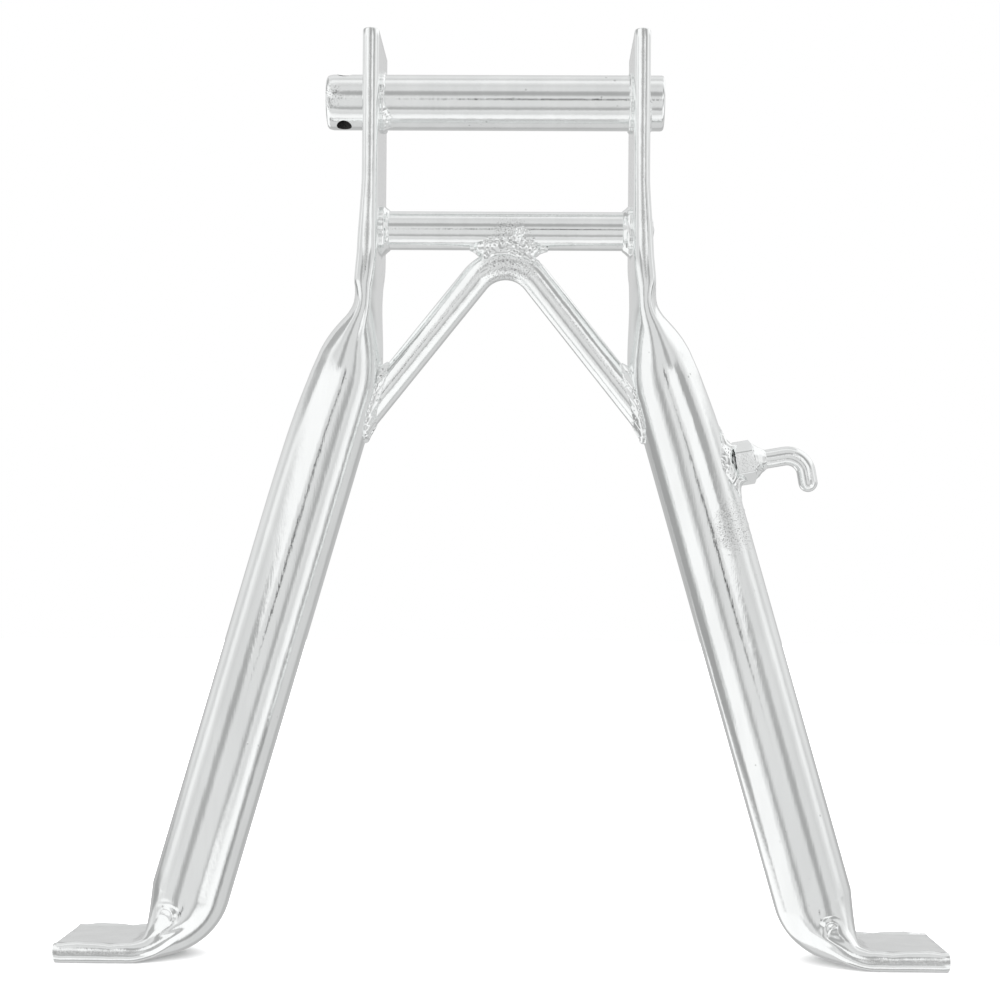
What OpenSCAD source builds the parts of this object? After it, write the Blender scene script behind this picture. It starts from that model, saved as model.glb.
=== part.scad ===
// Moped centre stand: two legs, each one tube that is crushed flat at both ends, joined by a
// pivot tube, a cross tube and a bent rod brace, with a spring hook on the right leg.
// The origin lies on the pivot axis, midway between the ears. X runs along the pivot axis,
// -Y faces the viewer and +Z points up. Lengths are in millimetres.

/* [Leg tube] */
// Outer diameter of the leg tube
leg_d = 26; // [22:0.5:32]
// Wall of the leg tube
leg_wall = 2.3; // [1.5:0.1:3]
// Angle of each leg to the vertical
splay = 16.1; // [10:0.1:20]
// Height of the pivot axis above the ground
stand_h = 285; // [250:1:330]

/* [Ears] */
// Clear width between the inner faces of the ears
ear_gap = 83; // [70:1:110]
// Height of the ears above the pivot axis
ear_top = 19.4; // [14:0.2:30]
// Depth below the pivot axis at which the flat ear starts to open out into the tube
ear_drop = 51.1; // [50:0.1:60]
// Length over which the ear opens out
opening_length = 46; // [36:1:60]
// Gap left between the two walls of a crushed ear
ear_slit = 0.7; // [0.1:0.1:1.5]
// Radius of the bend between the ear and the leg
knee_r = 50; // [30:1:90]

/* [Feet] */
// Gap left between the two walls of a crushed foot
foot_slit = 1.6; // [0.4:0.1:3]
// Radius of the underside of the bend above the foot
ankle_r = 23.7; // [18:0.1:30]
// Radius of the fold where the top of the foot meets the leg
heel_r = 4; // [2:0.5:6]
// Distance that the side of the leg still runs outward above the fold
heel_out = 1.4; // [0.5:0.1:3]
// Length of the flat foot beyond the fold
foot_length = 23.7; // [12:0.1:40]

/* [Pivot tube] */
// Outer diameter of the pivot tube
pivot_d = 18; // [16:0.5:22]
// Bore of the pivot tube
pivot_bore = 12; // [8:0.5:13]
// Length of the pivot tube outside the left ear
pivot_out_left = 13; // [11:0.2:25]
// Length of the pivot tube outside the right ear
pivot_out_right = 5.4; // [4:0.2:15]
// Length of the taper at each end
taper_length = 2.6; // [1:0.1:3]
// Depth of the taper at each end
taper_depth = 0.8; // [0.3:0.1:1.2]
// Diameter of the hole for the locking pin
pin_d = 5; // [3:0.5:5.5]
// Distance from the left end to the middle of the pin hole
pin_inset = 5.7; // [5.6:0.1:7]
// Distance of the pin hole from the pivot axis, toward the viewer
pin_offset = 2.7; // [0:0.1:3]

/* [Cross tube] */
// Outer diameter of the cross tube
cross_d = 12.7; // [10:0.1:16]
// Wall of the cross tube
cross_wall = 2; // [1.2:0.1:3]
// Depth of the cross tube below the pivot axis
cross_drop = 42.8; // [32:0.2:43]

/* [Rod brace] */
// Diameter of the brace rod
brace_d = 10; // [7:0.5:12]
// Angle of the brace arms below the horizontal
brace_angle = 51.4; // [46:0.2:56]
// Radius of the bend at the apex, along the middle of the rod
brace_bend_r = 13; // [10:0.5:18]

/* [Spring hook] */
// Diameter of the hook rod
hook_d = 6.3; // [5:0.1:6.5]
// Depth below the pivot axis at which the hook's line meets the middle of the leg
hook_drop = 122.7; // [112:0.1:200]
// Angle of the hook rod above the horizontal
hook_lift = 10; // [4:0.5:16]
// Distance from the middle of the leg to the hooked end
hook_reach = 37.2; // [34:0.2:50]
// Radius of the hook's bend, along the middle of the rod
hook_bend_r = 6.5; // [5:0.1:8]
// Length of the straight stretch after the bend
hook_point = 3.5; // [1:0.1:10]
// Width across the flats of the hook's nut
nut_flats = 13; // [12:0.5:17]
// Thickness of the nut
nut_t = 6.5; // [5:0.1:8]
// Gap all round the rod in the nut
nut_clearance = 0.15; // [0.05:0.05:0.3]

/* [Weld beads] */
// Height of the beads round the pivot tube
pivot_bead = 1.8; // [1:0.1:3]
// Height of the beads round the cross tube
cross_bead = 2.6; // [1.5:0.1:3.5]
// Height of the plug weld on the right end of the cross tube
plug_bead = 1.5; // [0.8:0.1:3]
// Thickness of the bead between the brace and the cross tube
apex_bead = 3.2; // [2:0.1:4]
// Length of the bead between the brace and the cross tube
apex_bead_length = 18; // [10:1:24]
// Height of the beads at the ends of the brace
brace_bead = 1.8; // [1:0.1:3]
// Spread of the bead round the foot of the nut
nut_bead = 2.6; // [1.5:0.1:4]
// Spread of the bead between the nut and the hook rod
hook_bead = 2.2; // [1:0.1:3]

/* [Hidden] */
$fn = 72;

// Extra length of a cutting shape beyond what it cuts
cut = 1;
// Thickness of the crushed ends, and the middle plane and outer face of an ear
ear_t = 2 * leg_wall + ear_slit;
foot_t = 2 * leg_wall + foot_slit;
ear_x = ear_gap / 2 + ear_t / 2;
ear_face = ear_gap / 2 + ear_t;
pivot_left_end = -ear_face - pivot_out_left;
pivot_length = 2 * ear_face + pivot_out_left + pivot_out_right;
plating = [0.83, 0.85, 0.86];
weld_tone = [0.74, 0.76, 0.77];

// Points along a flat side and round an edge of the leg's section, and rings along its bends
side_steps = 12;
edge_steps = 6;
opening_steps = 10;
ankle_steps = 13;

// Middle line of the leg, as [x, z, tilt], at a length d below the pivot axis
knee_length = knee_r * splay * PI / 180;
function knee_point(a) = [ear_x + knee_r * (1 - cos(a)), -ear_drop - knee_r * sin(a), a];
function leg_point(d) =
    d <= ear_drop ? [ear_x, -d, 0] :
    d < ear_drop + knee_length ? knee_point((d - ear_drop) / knee_r * 180 / PI) :
    knee_point(splay)
        + (d - ear_drop - knee_length) * [sin(splay), -cos(splay), 0];

// Middle of the straight leg at a height z
straight_x = function(z) knee_point(splay)[0] + (knee_point(splay)[1] - z) * tan(splay);

// A ring is [x, z, tilt, thickness, thickness when fully crushed]
function ease(f) = f * f * (3 - 2 * f);
function opening_ring(f) =
    concat(leg_point(ear_drop + f * opening_length),
        [ear_t + (leg_d - ear_t) * ease(f), ear_t]);
ear_rings = concat(
    [[ear_x, ear_top, 0, ear_t, ear_t]],
    [for (i = [0 : opening_steps]) opening_ring(i / opening_steps)]);

// The ankle: its underside is an arc round ankle_centre that runs on along the sole, and its
// upper side is a straight flank, a fold and the top of the foot
ankle_offset = ankle_r - leg_d / 2;
ankle_z = ankle_r - stand_h;
ankle_start_z = ankle_z - ankle_offset * sin(splay);
ankle_start = [straight_x(ankle_start_z), ankle_start_z];
ankle_centre = ankle_start + ankle_offset * [cos(splay), sin(splay)];
flank_top = ankle_start + leg_d / 2 * [cos(splay), sin(splay)];
fold_centre = [flank_top[0] + heel_out + heel_r, foot_t - stand_h + heel_r];
flank_length = norm(fold_centre - [heel_r, 0] - flank_top);
fold_length = heel_r * PI / 2;
sole_arc = ankle_r * (90 - splay) * PI / 180;
sole_run = fold_centre[0] - ankle_centre[0];
foot_tip = fold_centre[0] + foot_length;

function sole_point(s) =
    s < sole_arc
        ? ankle_centre - ankle_r * [
            cos(splay + s / ankle_r * 180 / PI), sin(splay + s / ankle_r * 180 / PI)]
        : [ankle_centre[0] + s - sole_arc, -stand_h];
function flank_point(s) =
    s < flank_length
        ? flank_top + (fold_centre - [heel_r, 0] - flank_top) * s / flank_length
        : fold_centre - heel_r * [
            cos((s - flank_length) / heel_r * 180 / PI),
            sin((s - flank_length) / heel_r * 180 / PI)];
function ring_between(p, q) =
    [(p[0] + q[0]) / 2, (p[1] + q[1]) / 2, atan2(q[1] - p[1], q[0] - p[0]),
        norm(q - p), foot_t];
ankle_rings = [
    for (i = [0 : ankle_steps]) let (f = i / ankle_steps)
        ring_between(sole_point(f * (sole_arc + sole_run)),
            flank_point(f * (flank_length + fold_length)))];
foot_rings = concat(ankle_rings,
    [[foot_tip, foot_t / 2 - stand_h, 90, foot_t, foot_t]]);

// Section of the tube, inset from its outer skin. Crushed flat, it has two straight sides and
// two round edges of the same total girth as the round tube. Each point keeps its place along
// the girth, and a ring between flat and round is a blend of the two
function heading(a) = [cos(a), sin(a)];
function skin_point(flat_point, flat_a, round_a, open, inset) =
    let (facing = (1 - open) * heading(flat_a) + open * heading(round_a))
    (1 - open) * flat_point + open * leg_d / 2 * heading(round_a)
        - inset * facing / norm(facing);
function section_half(thick, flat_thick, inset) =
    let (
        open = (thick - flat_thick) / (leg_d - flat_thick),
        side = PI * (leg_d - flat_thick) / 4,
        edge_r = flat_thick / 2,
        side_angle = 90 * (leg_d - flat_thick) / leg_d,
        edge_angle = 180 - 2 * side_angle
    )
    concat(
        [for (i = [0 : side_steps - 1]) let (f = 2 * i / side_steps - 1)
            skin_point([edge_r, f * side], 0, f * side_angle, open, inset)],
        [for (i = [0 : edge_steps - 1]) let (f = i / edge_steps)
            skin_point([0, side] + edge_r * heading(180 * f),
                180 * f, side_angle + edge_angle * f, open, inset)]);
function section(thick, flat_thick, inset) =
    let (half = section_half(thick, flat_thick, inset))
    concat(half, -half);
function ring_points(ring, inset) =
    [for (p = section(ring[3], ring[4], inset))
        [ring[0] + p[0] * cos(ring[2]), p[1], ring[1] + p[0] * sin(ring[2])]];

// Skin of a loft through a list of rings, facing outward or inward
function quads(rings, count, first, outward) =
    [for (j = [0 : rings - 2], i = [0 : count - 1])
        let (
            a = first + j * count + i,
            b = first + j * count + (i + 1) % count,
            c = b + count,
            d = a + count
        )
        each outward ? [[a, b, c], [a, c, d]] : [[a, c, b], [a, d, c]]];
function annulus(count, outer, inner, outward) =
    [for (i = [0 : count - 1])
        let (a = outer + i, b = outer + (i + 1) % count,
            c = inner + (i + 1) % count, d = inner + i)
        each outward ? [[a, b, c], [a, c, d]] : [[a, c, b], [a, d, c]]];

// Tube through the rings, open at both ends
module tube_loft(rings) {
    count = 2 * (side_steps + edge_steps);
    outer = [for (ring = rings) each ring_points(ring, 0)];
    inner = [for (ring = rings) each ring_points(ring, leg_wall)];
    last = (len(rings) - 1) * count;
    polyhedron(
        points = concat(outer, inner),
        faces = concat(
            quads(len(rings), count, 0, true),
            quads(len(rings), count, len(outer), false),
            annulus(count, 0, len(outer), false),
            annulus(count, last, len(outer) + last, true)));
}

// Solid through the rings, used to cut what is welded to the outside of the leg
module solid_loft(rings) {
    count = 2 * (side_steps + edge_steps);
    last = (len(rings) - 1) * count;
    polyhedron(
        points = [for (ring = rings) each ring_points(ring, 0)],
        faces = concat(
            quads(len(rings), count, 0, true),
            [[for (i = [count - 1 : -1 : 0]) i]],
            [[for (i = [0 : count - 1]) last + i]]));
}

// Cylinder along the pivot direction between two x values
module bar(x0, x1, d, z = 0) {
    translate([x0, 0, z])
        rotate([0, 90, 0])
            cylinder(d = d, h = x1 - x0);
}

// Right leg: ear, knee, straight tube, ankle and foot in one piece
module leg() {
    difference() {
        tube_loft(concat(ear_rings, foot_rings));
        bar(ear_gap / 2 - cut, ear_face + cut, pivot_d);
        bar(ear_gap / 2 - cut, ear_face + cut, cross_d, -cross_drop);
    }
}

// Outside of the right leg where the brace and the hook are welded on
module leg_skin() {
    solid_loft(concat(ear_rings, [foot_rings[0]]));
}

module left_leg() {
    color(plating)
        mirror([1, 0, 0])
            leg();
}

module right_leg() {
    color(plating)
        leg();
}

// Pivot tube with tapered ends and the offset hole for the locking pin
module pivot_tube() {
    taper_d = pivot_d - 2 * taper_depth;
    color(plating)
        translate([pivot_left_end, 0, 0])
            difference() {
                rotate([0, 90, 0])
                    union() {
                        cylinder(d1 = taper_d, d2 = pivot_d, h = taper_length);
                        translate([0, 0, taper_length])
                            cylinder(d = pivot_d, h = pivot_length - 2 * taper_length);
                        translate([0, 0, pivot_length - taper_length])
                            cylinder(d1 = pivot_d, d2 = taper_d, h = taper_length);
                    }
                bar(-cut, pivot_length + cut, pivot_bore);
                translate([pin_inset, -pin_offset, 0])
                    cylinder(d = pin_d, h = pivot_d + 2 * cut, center = true);
            }
}

// Cross tube, flush with the outer faces of the ears
module cross_tube() {
    color(plating)
        difference() {
            bar(-ear_face, ear_face, cross_d, -cross_drop);
            bar(-ear_face - cut, ear_face + cut, cross_d - 2 * cross_wall, -cross_drop);
        }
}

// Brace: the bend's top rests against the underside of the cross tube
brace_top = -cross_drop - cross_d / 2;
brace_bend_z = brace_top - brace_d / 2 - brace_bend_r;
brace_vertex = brace_bend_z + brace_bend_r / cos(brace_angle);
// Height at which an arm's line meets the middle line of the leg
brace_foot_z = let (
        knee = knee_point(splay),
        slope = tan(splay),
        fall = tan(brace_angle)
    )
    (brace_vertex - (knee[0] + knee[1] * slope) * fall) / (1 - slope * fall);
brace_arm = (straight_x(brace_foot_z) - brace_bend_r * sin(brace_angle)) / cos(brace_angle);

// Places a child at the start of the right arm, with +X along the arm
module along_arm() {
    translate([0, 0, brace_bend_z])
        rotate([0, brace_angle, 0])
            translate([0, 0, brace_bend_r])
                children();
}

// The whole rod, its arms run on into the legs
module brace_rod() {
    translate([0, 0, brace_bend_z])
        rotate([90, 0, 0])
            rotate([0, 0, 90 - brace_angle])
                rotate_extrude(angle = 2 * brace_angle)
                    translate([brace_bend_r, 0])
                        circle(d = brace_d);
    for (side = [0, 1])
        mirror([side, 0, 0])
            along_arm()
                bar(0, brace_arm, brace_d);
}

module v_brace() {
    color(plating)
        difference() {
            brace_rod();
            leg_skin();
            mirror([1, 0, 0])
                leg_skin();
        }
}

// Spring hook: its line leaves the middle of the leg, lifted by hook_lift
hook_start = [straight_x(-hook_drop), 0, -hook_drop];
nut_corner = nut_flats / sqrt(3);
// Distance from the middle of the leg to the base of the nut, clear of the leg's round side
nut_seat = leg_d / 2 / cos(splay - hook_lift) + nut_corner * tan(abs(splay - hook_lift));

module on_hook_line() {
    translate(hook_start)
        rotate([0, -hook_lift, 0])
            children();
}

module hook_nut() {
    color(plating)
        on_hook_line()
            difference() {
                translate([nut_seat, 0, 0])
                    rotate([0, 90, 0])
                        cylinder(r = nut_corner, h = nut_t, $fn = 6);
                bar(nut_seat - cut, nut_seat + nut_t + cut, hook_d + 2 * nut_clearance);
            }
}

module hook_rod() {
    bend_x = hook_reach - hook_bend_r;
    bar(nut_seat, bend_x, hook_d);
    translate([bend_x, 0, -hook_bend_r])
        rotate([90, 0, 0])
            rotate_extrude(angle = 90)
                translate([hook_bend_r, 0])
                    circle(d = hook_d);
    translate([hook_reach, 0, -hook_bend_r - hook_point])
        cylinder(d = hook_d, h = hook_point);
    translate([hook_reach, 0, -hook_bend_r - hook_point])
        sphere(d = hook_d);
}

module spring_hook() {
    color(plating)
        on_hook_line()
            hook_rod();
}

// Quarter-round bead round a bar, seated on the bar and on a face square to it
module ring_bead(bar_d, size) {
    rotate([0, 90, 0])
        rotate_extrude()
            translate([bar_d / 2, 0])
                intersection() {
                    circle(r = size);
                    square(size);
                }
}

module weld_pivot_right() {
    color(weld_tone)
        translate([ear_gap / 2, 0, 0])
            mirror([1, 0, 0])
                ring_bead(pivot_d, pivot_bead);
}

module weld_pivot_left() {
    color(weld_tone)
        translate([-ear_gap / 2, 0, 0])
            ring_bead(pivot_d, pivot_bead);
}

// Short bead under the pivot tube on the outside of the right ear
module weld_pivot_tack() {
    color(weld_tone)
        intersection() {
            translate([ear_face, 0, 0])
                ring_bead(pivot_d, pivot_bead);
            translate([ear_face, -pivot_d / 2, -pivot_d])
                cube([pivot_bead, pivot_d / 2, pivot_d]);
        }
}

module weld_cross_right() {
    color(weld_tone)
        translate([ear_gap / 2, 0, -cross_drop])
            mirror([1, 0, 0])
                ring_bead(cross_d, cross_bead);
}

module weld_cross_left() {
    color(weld_tone)
        translate([-ear_gap / 2, 0, -cross_drop])
            ring_bead(cross_d, cross_bead);
}

// Domed plug weld over the right end of the cross tube
module weld_cross_plug() {
    plug_r = cross_d / 2 + cut / 2;
    dome_r = (plug_r * plug_r + plug_bead * plug_bead) / 2 / plug_bead;
    color(weld_tone)
        translate([ear_face, 0, -cross_drop])
            rotate([0, 90, 0])
                rotate_extrude()
                    intersection() {
                        translate([0, plug_bead - dome_r])
                            circle(r = dome_r, $fn = 4 * $fn);
                        square([plug_r, plug_bead]);
                    }
}

// Bead that lies in the groove between the cross tube and the brace bend
module apex_groove() {
    half = apex_bead_length / 2 - apex_bead;
    groove = (cross_d + brace_d) / 8;
    translate([0, -groove - apex_bead / 4, brace_top]) {
        bar(-half, half, 2 * apex_bead);
        translate([-half, 0, 0])
            sphere(r = apex_bead);
        translate([half, 0, 0])
            sphere(r = apex_bead);
        translate([half / 2, 0, apex_bead / 2])
            sphere(r = apex_bead * 1.15);
    }
}

module apex_weld() {
    color(weld_tone)
        difference() {
            apex_groove();
            bar(-apex_bead_length, apex_bead_length, cross_d, -cross_drop);
            brace_rod();
            translate([-apex_bead_length, 0, brace_top - cross_d])
                cube([2 * apex_bead_length, cross_d, 2 * cross_d]);
        }
}

module weld_apex_front() {
    apex_weld();
}

module weld_apex_back() {
    mirror([0, 1, 0])
        apex_weld();
}

// Bead where an arm meets the side of the leg: a sleeve round the arm, as far as it lies
// within a sleeve round the leg
module brace_weld() {
    color(weld_tone)
        difference() {
            intersection() {
                along_arm()
                    bar(0, brace_arm, brace_d + 2 * brace_bead);
                translate([straight_x(-ear_drop), 0, -ear_drop])
                    rotate([0, 180 - splay, 0])
                        cylinder(d = leg_d + 2 * brace_bead, h = 2 * opening_length);
            }
            brace_rod();
            leg_skin();
        }
}

module weld_brace_right() {
    brace_weld();
}

module weld_brace_left() {
    mirror([1, 0, 0])
        brace_weld();
}

// Collar between the leg and the base of the nut
module weld_nut() {
    base_r = nut_corner + nut_bead;
    start = leg_d / 2 - nut_bead;
    finish = nut_seat + nut_t / 2;
    color(weld_tone)
        difference() {
            on_hook_line()
                translate([start, 0, 0])
                    rotate([0, 90, 0])
                        cylinder(r1 = base_r, r2 = nut_flats / 2, h = finish - start);
            on_hook_line()
                translate([nut_seat, 0, 0])
                    rotate([0, 90, 0])
                        cylinder(r = nut_corner, h = nut_t, $fn = 6);
            leg_skin();
        }
}

// Collar between the outer face of the nut and the rod
module weld_hook() {
    color(weld_tone)
        on_hook_line()
            translate([nut_seat + nut_t, 0, 0])
                difference() {
                    rotate([0, 90, 0])
                        cylinder(d1 = hook_d + 2 * hook_bead, d2 = hook_d, h = 2 * hook_bead);
                    bar(-cut, 2 * hook_bead + cut, hook_d);
                }
}

left_leg();
right_leg();
pivot_tube();
cross_tube();
v_brace();
hook_nut();
spring_hook();
weld_pivot_left();
weld_pivot_right();
weld_pivot_tack();
weld_cross_left();
weld_cross_right();
weld_cross_plug();
weld_apex_front();
weld_apex_back();
weld_brace_left();
weld_brace_right();
weld_nut();
weld_hook();
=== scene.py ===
"""Looks of a moped centre stand: a bright plated weldment of tubes and bent rods.

Lengths are in millimetres in the classes below and turn into metres when a mesh is made. X runs
along the pivot tube, -Y faces the viewer and +Z points up, with the origin on the pivot axis.
"""

import logging
import math
import random
from dataclasses import dataclass, field
from enum import Enum
from typing import NamedTuple, Sequence

import bmesh
import bpy
import numpy as np
from mathutils import Matrix, Vector
from mathutils.bvhtree import BVHTree


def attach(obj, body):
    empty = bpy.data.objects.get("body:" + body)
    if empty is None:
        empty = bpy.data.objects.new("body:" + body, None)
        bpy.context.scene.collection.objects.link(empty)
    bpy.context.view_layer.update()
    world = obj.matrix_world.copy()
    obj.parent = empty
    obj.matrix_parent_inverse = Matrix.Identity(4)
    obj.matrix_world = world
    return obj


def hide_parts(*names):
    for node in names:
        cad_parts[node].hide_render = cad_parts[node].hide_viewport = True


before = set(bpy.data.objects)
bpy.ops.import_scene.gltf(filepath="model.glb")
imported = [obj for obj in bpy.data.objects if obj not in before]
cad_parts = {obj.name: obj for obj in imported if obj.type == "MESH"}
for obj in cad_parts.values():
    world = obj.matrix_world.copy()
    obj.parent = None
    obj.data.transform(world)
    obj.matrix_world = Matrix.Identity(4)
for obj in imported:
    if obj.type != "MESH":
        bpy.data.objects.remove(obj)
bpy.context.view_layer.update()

MM = 0.001
LOG = logging.getLogger("centre_stand")

STAND_H = 285.0
SPLAY = 16.1
PIVOT_D = 18.0
CROSS_D = 12.7
CROSS_Z = -42.8
NUT_FLATS = 13.0
NUT_HEIGHT = 6.5
BACK = np.array([0.0, 1.0, 0.0])

Points = np.ndarray


class Side(Enum):
    """The two sides of the stand, as seen by the viewer."""

    LEFT = -1
    RIGHT = 1


class Slot(Enum):
    """Material slots of the record."""

    PLATING = "plating"
    WELD = "plated_weld"


# Mesh helpers


def loft_faces(rings: int, count: int, first: int = 0, wrap: bool = False) -> list[tuple[int, ...]]:
    """Quads that join rings of equal size, one after the other.

    Args:
        rings: number of rings.
        count: number of points in each ring.
        first: index of the first point.
        wrap: whether the last ring joins the first one.

    Returns:
        The quads as tuples of point indices, facing outward for rings that turn left.
    """
    faces = []
    for j in range(rings if wrap else rings - 1):
        base, above = first + j * count, first + (j + 1) % rings * count
        for i in range(count):
            k = (i + 1) % count
            faces.append((base + i, base + k, above + k, above + i))
    return faces


def make_piece(name: str, points: Points, faces: Sequence[Sequence[int]]) -> bpy.types.Object:
    """A mesh object from points in millimetres.

    Args:
        name: name of the object.
        points: array of points, one row each.
        faces: point indices of each face.

    Returns:
        The new object, linked to the scene, its normals facing outward.
    """
    mesh = bpy.data.meshes.new(name)
    mesh.from_pydata((np.asarray(points) * MM).tolist(), [], [tuple(f) for f in faces])
    work = bmesh.new()
    work.from_mesh(mesh)
    bmesh.ops.remove_doubles(work, verts=work.verts, dist=0.002 * MM)
    bmesh.ops.recalc_face_normals(work, faces=work.faces)
    work.to_mesh(mesh)
    work.free()
    piece = bpy.data.objects.new(name, mesh)
    bpy.context.scene.collection.objects.link(piece)
    return piece


def bake_modifiers(piece: bpy.types.Object) -> None:
    """Applies the modifiers of a piece to its mesh.

    Args:
        piece: the piece.
    """
    graph = bpy.context.evaluated_depsgraph_get()
    old = piece.data
    baked = bpy.data.meshes.new_from_object(piece.evaluated_get(graph))
    piece.modifiers.clear()
    piece.data = baked
    baked.name = piece.name
    bpy.data.meshes.remove(old)


def shade(piece: bpy.types.Object, sharp_above: float = 38.0) -> None:
    """Smooth shading with sharp edges above an angle in degrees."""
    piece.data.shade_smooth()
    piece.data.set_sharp_from_angle(angle=math.radians(sharp_above))


def cut_away(piece: bpy.types.Object, tools: Sequence[bpy.types.Object]) -> None:
    """Cuts the tools out of a piece and deletes them.

    Args:
        piece: the piece.
        tools: solids to cut with.
    """
    for tool in tools:
        cut = piece.modifiers.new("cut", "BOOLEAN")
        cut.operation = "DIFFERENCE"
        cut.solver = "EXACT"
        cut.object = tool
        bake_modifiers(piece)
        bpy.data.objects.remove(tool)


def ring_frames(path: Points) -> tuple[Points, Points]:
    """Two cross directions at each point of a path that lies in the XZ plane.

    Args:
        path: points of the path.

    Returns:
        The in-plane and the out-of-plane direction at each point.
    """
    along = np.gradient(path, axis=0)
    along /= np.linalg.norm(along, axis=1)[:, None]
    across = np.tile(BACK, (len(path), 1))
    return np.cross(across, along), across


def sweep(path: Points, radii: Points, count: int = 48) -> Points:
    """Rings of a rod along a path in the XZ plane.

    Args:
        path: points of the path.
        radii: radius of the rod at each point.
        count: points round the rod.

    Returns:
        Array of rings, points and coordinates.
    """
    inward, across = ring_frames(path)
    turn = np.linspace(0, 2 * math.pi, count, endpoint=False)
    circle = (np.cos(turn)[None, :, None] * inward[:, None]
              + np.sin(turn)[None, :, None] * across[:, None])
    return path[:, None] + np.asarray(radii)[:, None, None] * circle


def capped_rod(name: str, rings: Points) -> bpy.types.Object:
    """A solid rod from its rings, closed by one flat face at each end.

    Args:
        name: name of the object.
        rings: rings of points along the rod.

    Returns:
        The new object.
    """
    count = rings.shape[1]
    faces = loft_faces(len(rings), count)
    faces.append(tuple(range(count))[::-1])
    faces.append(tuple((len(rings) - 1) * count + i for i in range(count)))
    return make_piece(name, rings.reshape(-1, 3), faces)


def lathe_x(name: str, profile: Sequence[tuple[float, float]], z: float,
            count: int = 96) -> bpy.types.Object:
    """A body of revolution about a line along X.

    Args:
        name: name of the object.
        profile: closed outline as x and radius.
        z: height of the line.
        count: points round the body.

    Returns:
        The new object.
    """
    turn = np.linspace(0, 2 * math.pi, count, endpoint=False)
    rings = [[(x, r * math.cos(t), z + r * math.sin(t)) for t in turn] for x, r in profile]
    return make_piece(name, np.array(rings).reshape(-1, 3), loft_faces(len(rings), count, wrap=True))


def bar_x(x0: float, x1: float, radius: float, z: float) -> bpy.types.Object:
    """A plain cutting bar along X between two places."""
    path = np.array([[x0, 0.0, z], [x1, 0.0, z]])
    return capped_rod("cutter", sweep(path, [radius, radius], 64))


def make_balls(name: str, balls: Sequence[tuple[Points, float]]) -> bpy.types.Object:
    """One mesh of many small balls.

    Args:
        name: name of the object.
        balls: middle and radius of each ball, in millimetres.

    Returns:
        The new object.
    """
    work = bmesh.new()
    bmesh.ops.create_icosphere(work, subdivisions=2, radius=1.0)
    unit = np.array([v.co for v in work.verts])
    corners = np.array([[v.index for v in f.verts] for f in work.faces])
    work.free()
    points = np.concatenate([np.asarray(place) + radius * unit for place, radius in balls])
    faces = np.concatenate([corners + i * len(unit) for i in range(len(balls))])
    mesh = bpy.data.meshes.new(name)
    mesh.from_pydata((points * MM).tolist(), [], faces.tolist())
    piece = bpy.data.objects.new(name, mesh)
    bpy.context.scene.collection.objects.link(piece)
    return piece


def tree_of(piece: bpy.types.Object) -> BVHTree:
    """Search tree of a piece's faces, in metres.

    Args:
        piece: the piece.

    Returns:
        The tree.
    """
    work = bmesh.new()
    work.from_mesh(piece.data)
    tree = BVHTree.FromBMesh(work)
    work.free()
    return tree


# Shader helpers


def grey(level: float) -> tuple[float, float, float, float]:
    """A colour with one level in its three channels."""
    return level, level, level, 1.0


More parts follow.
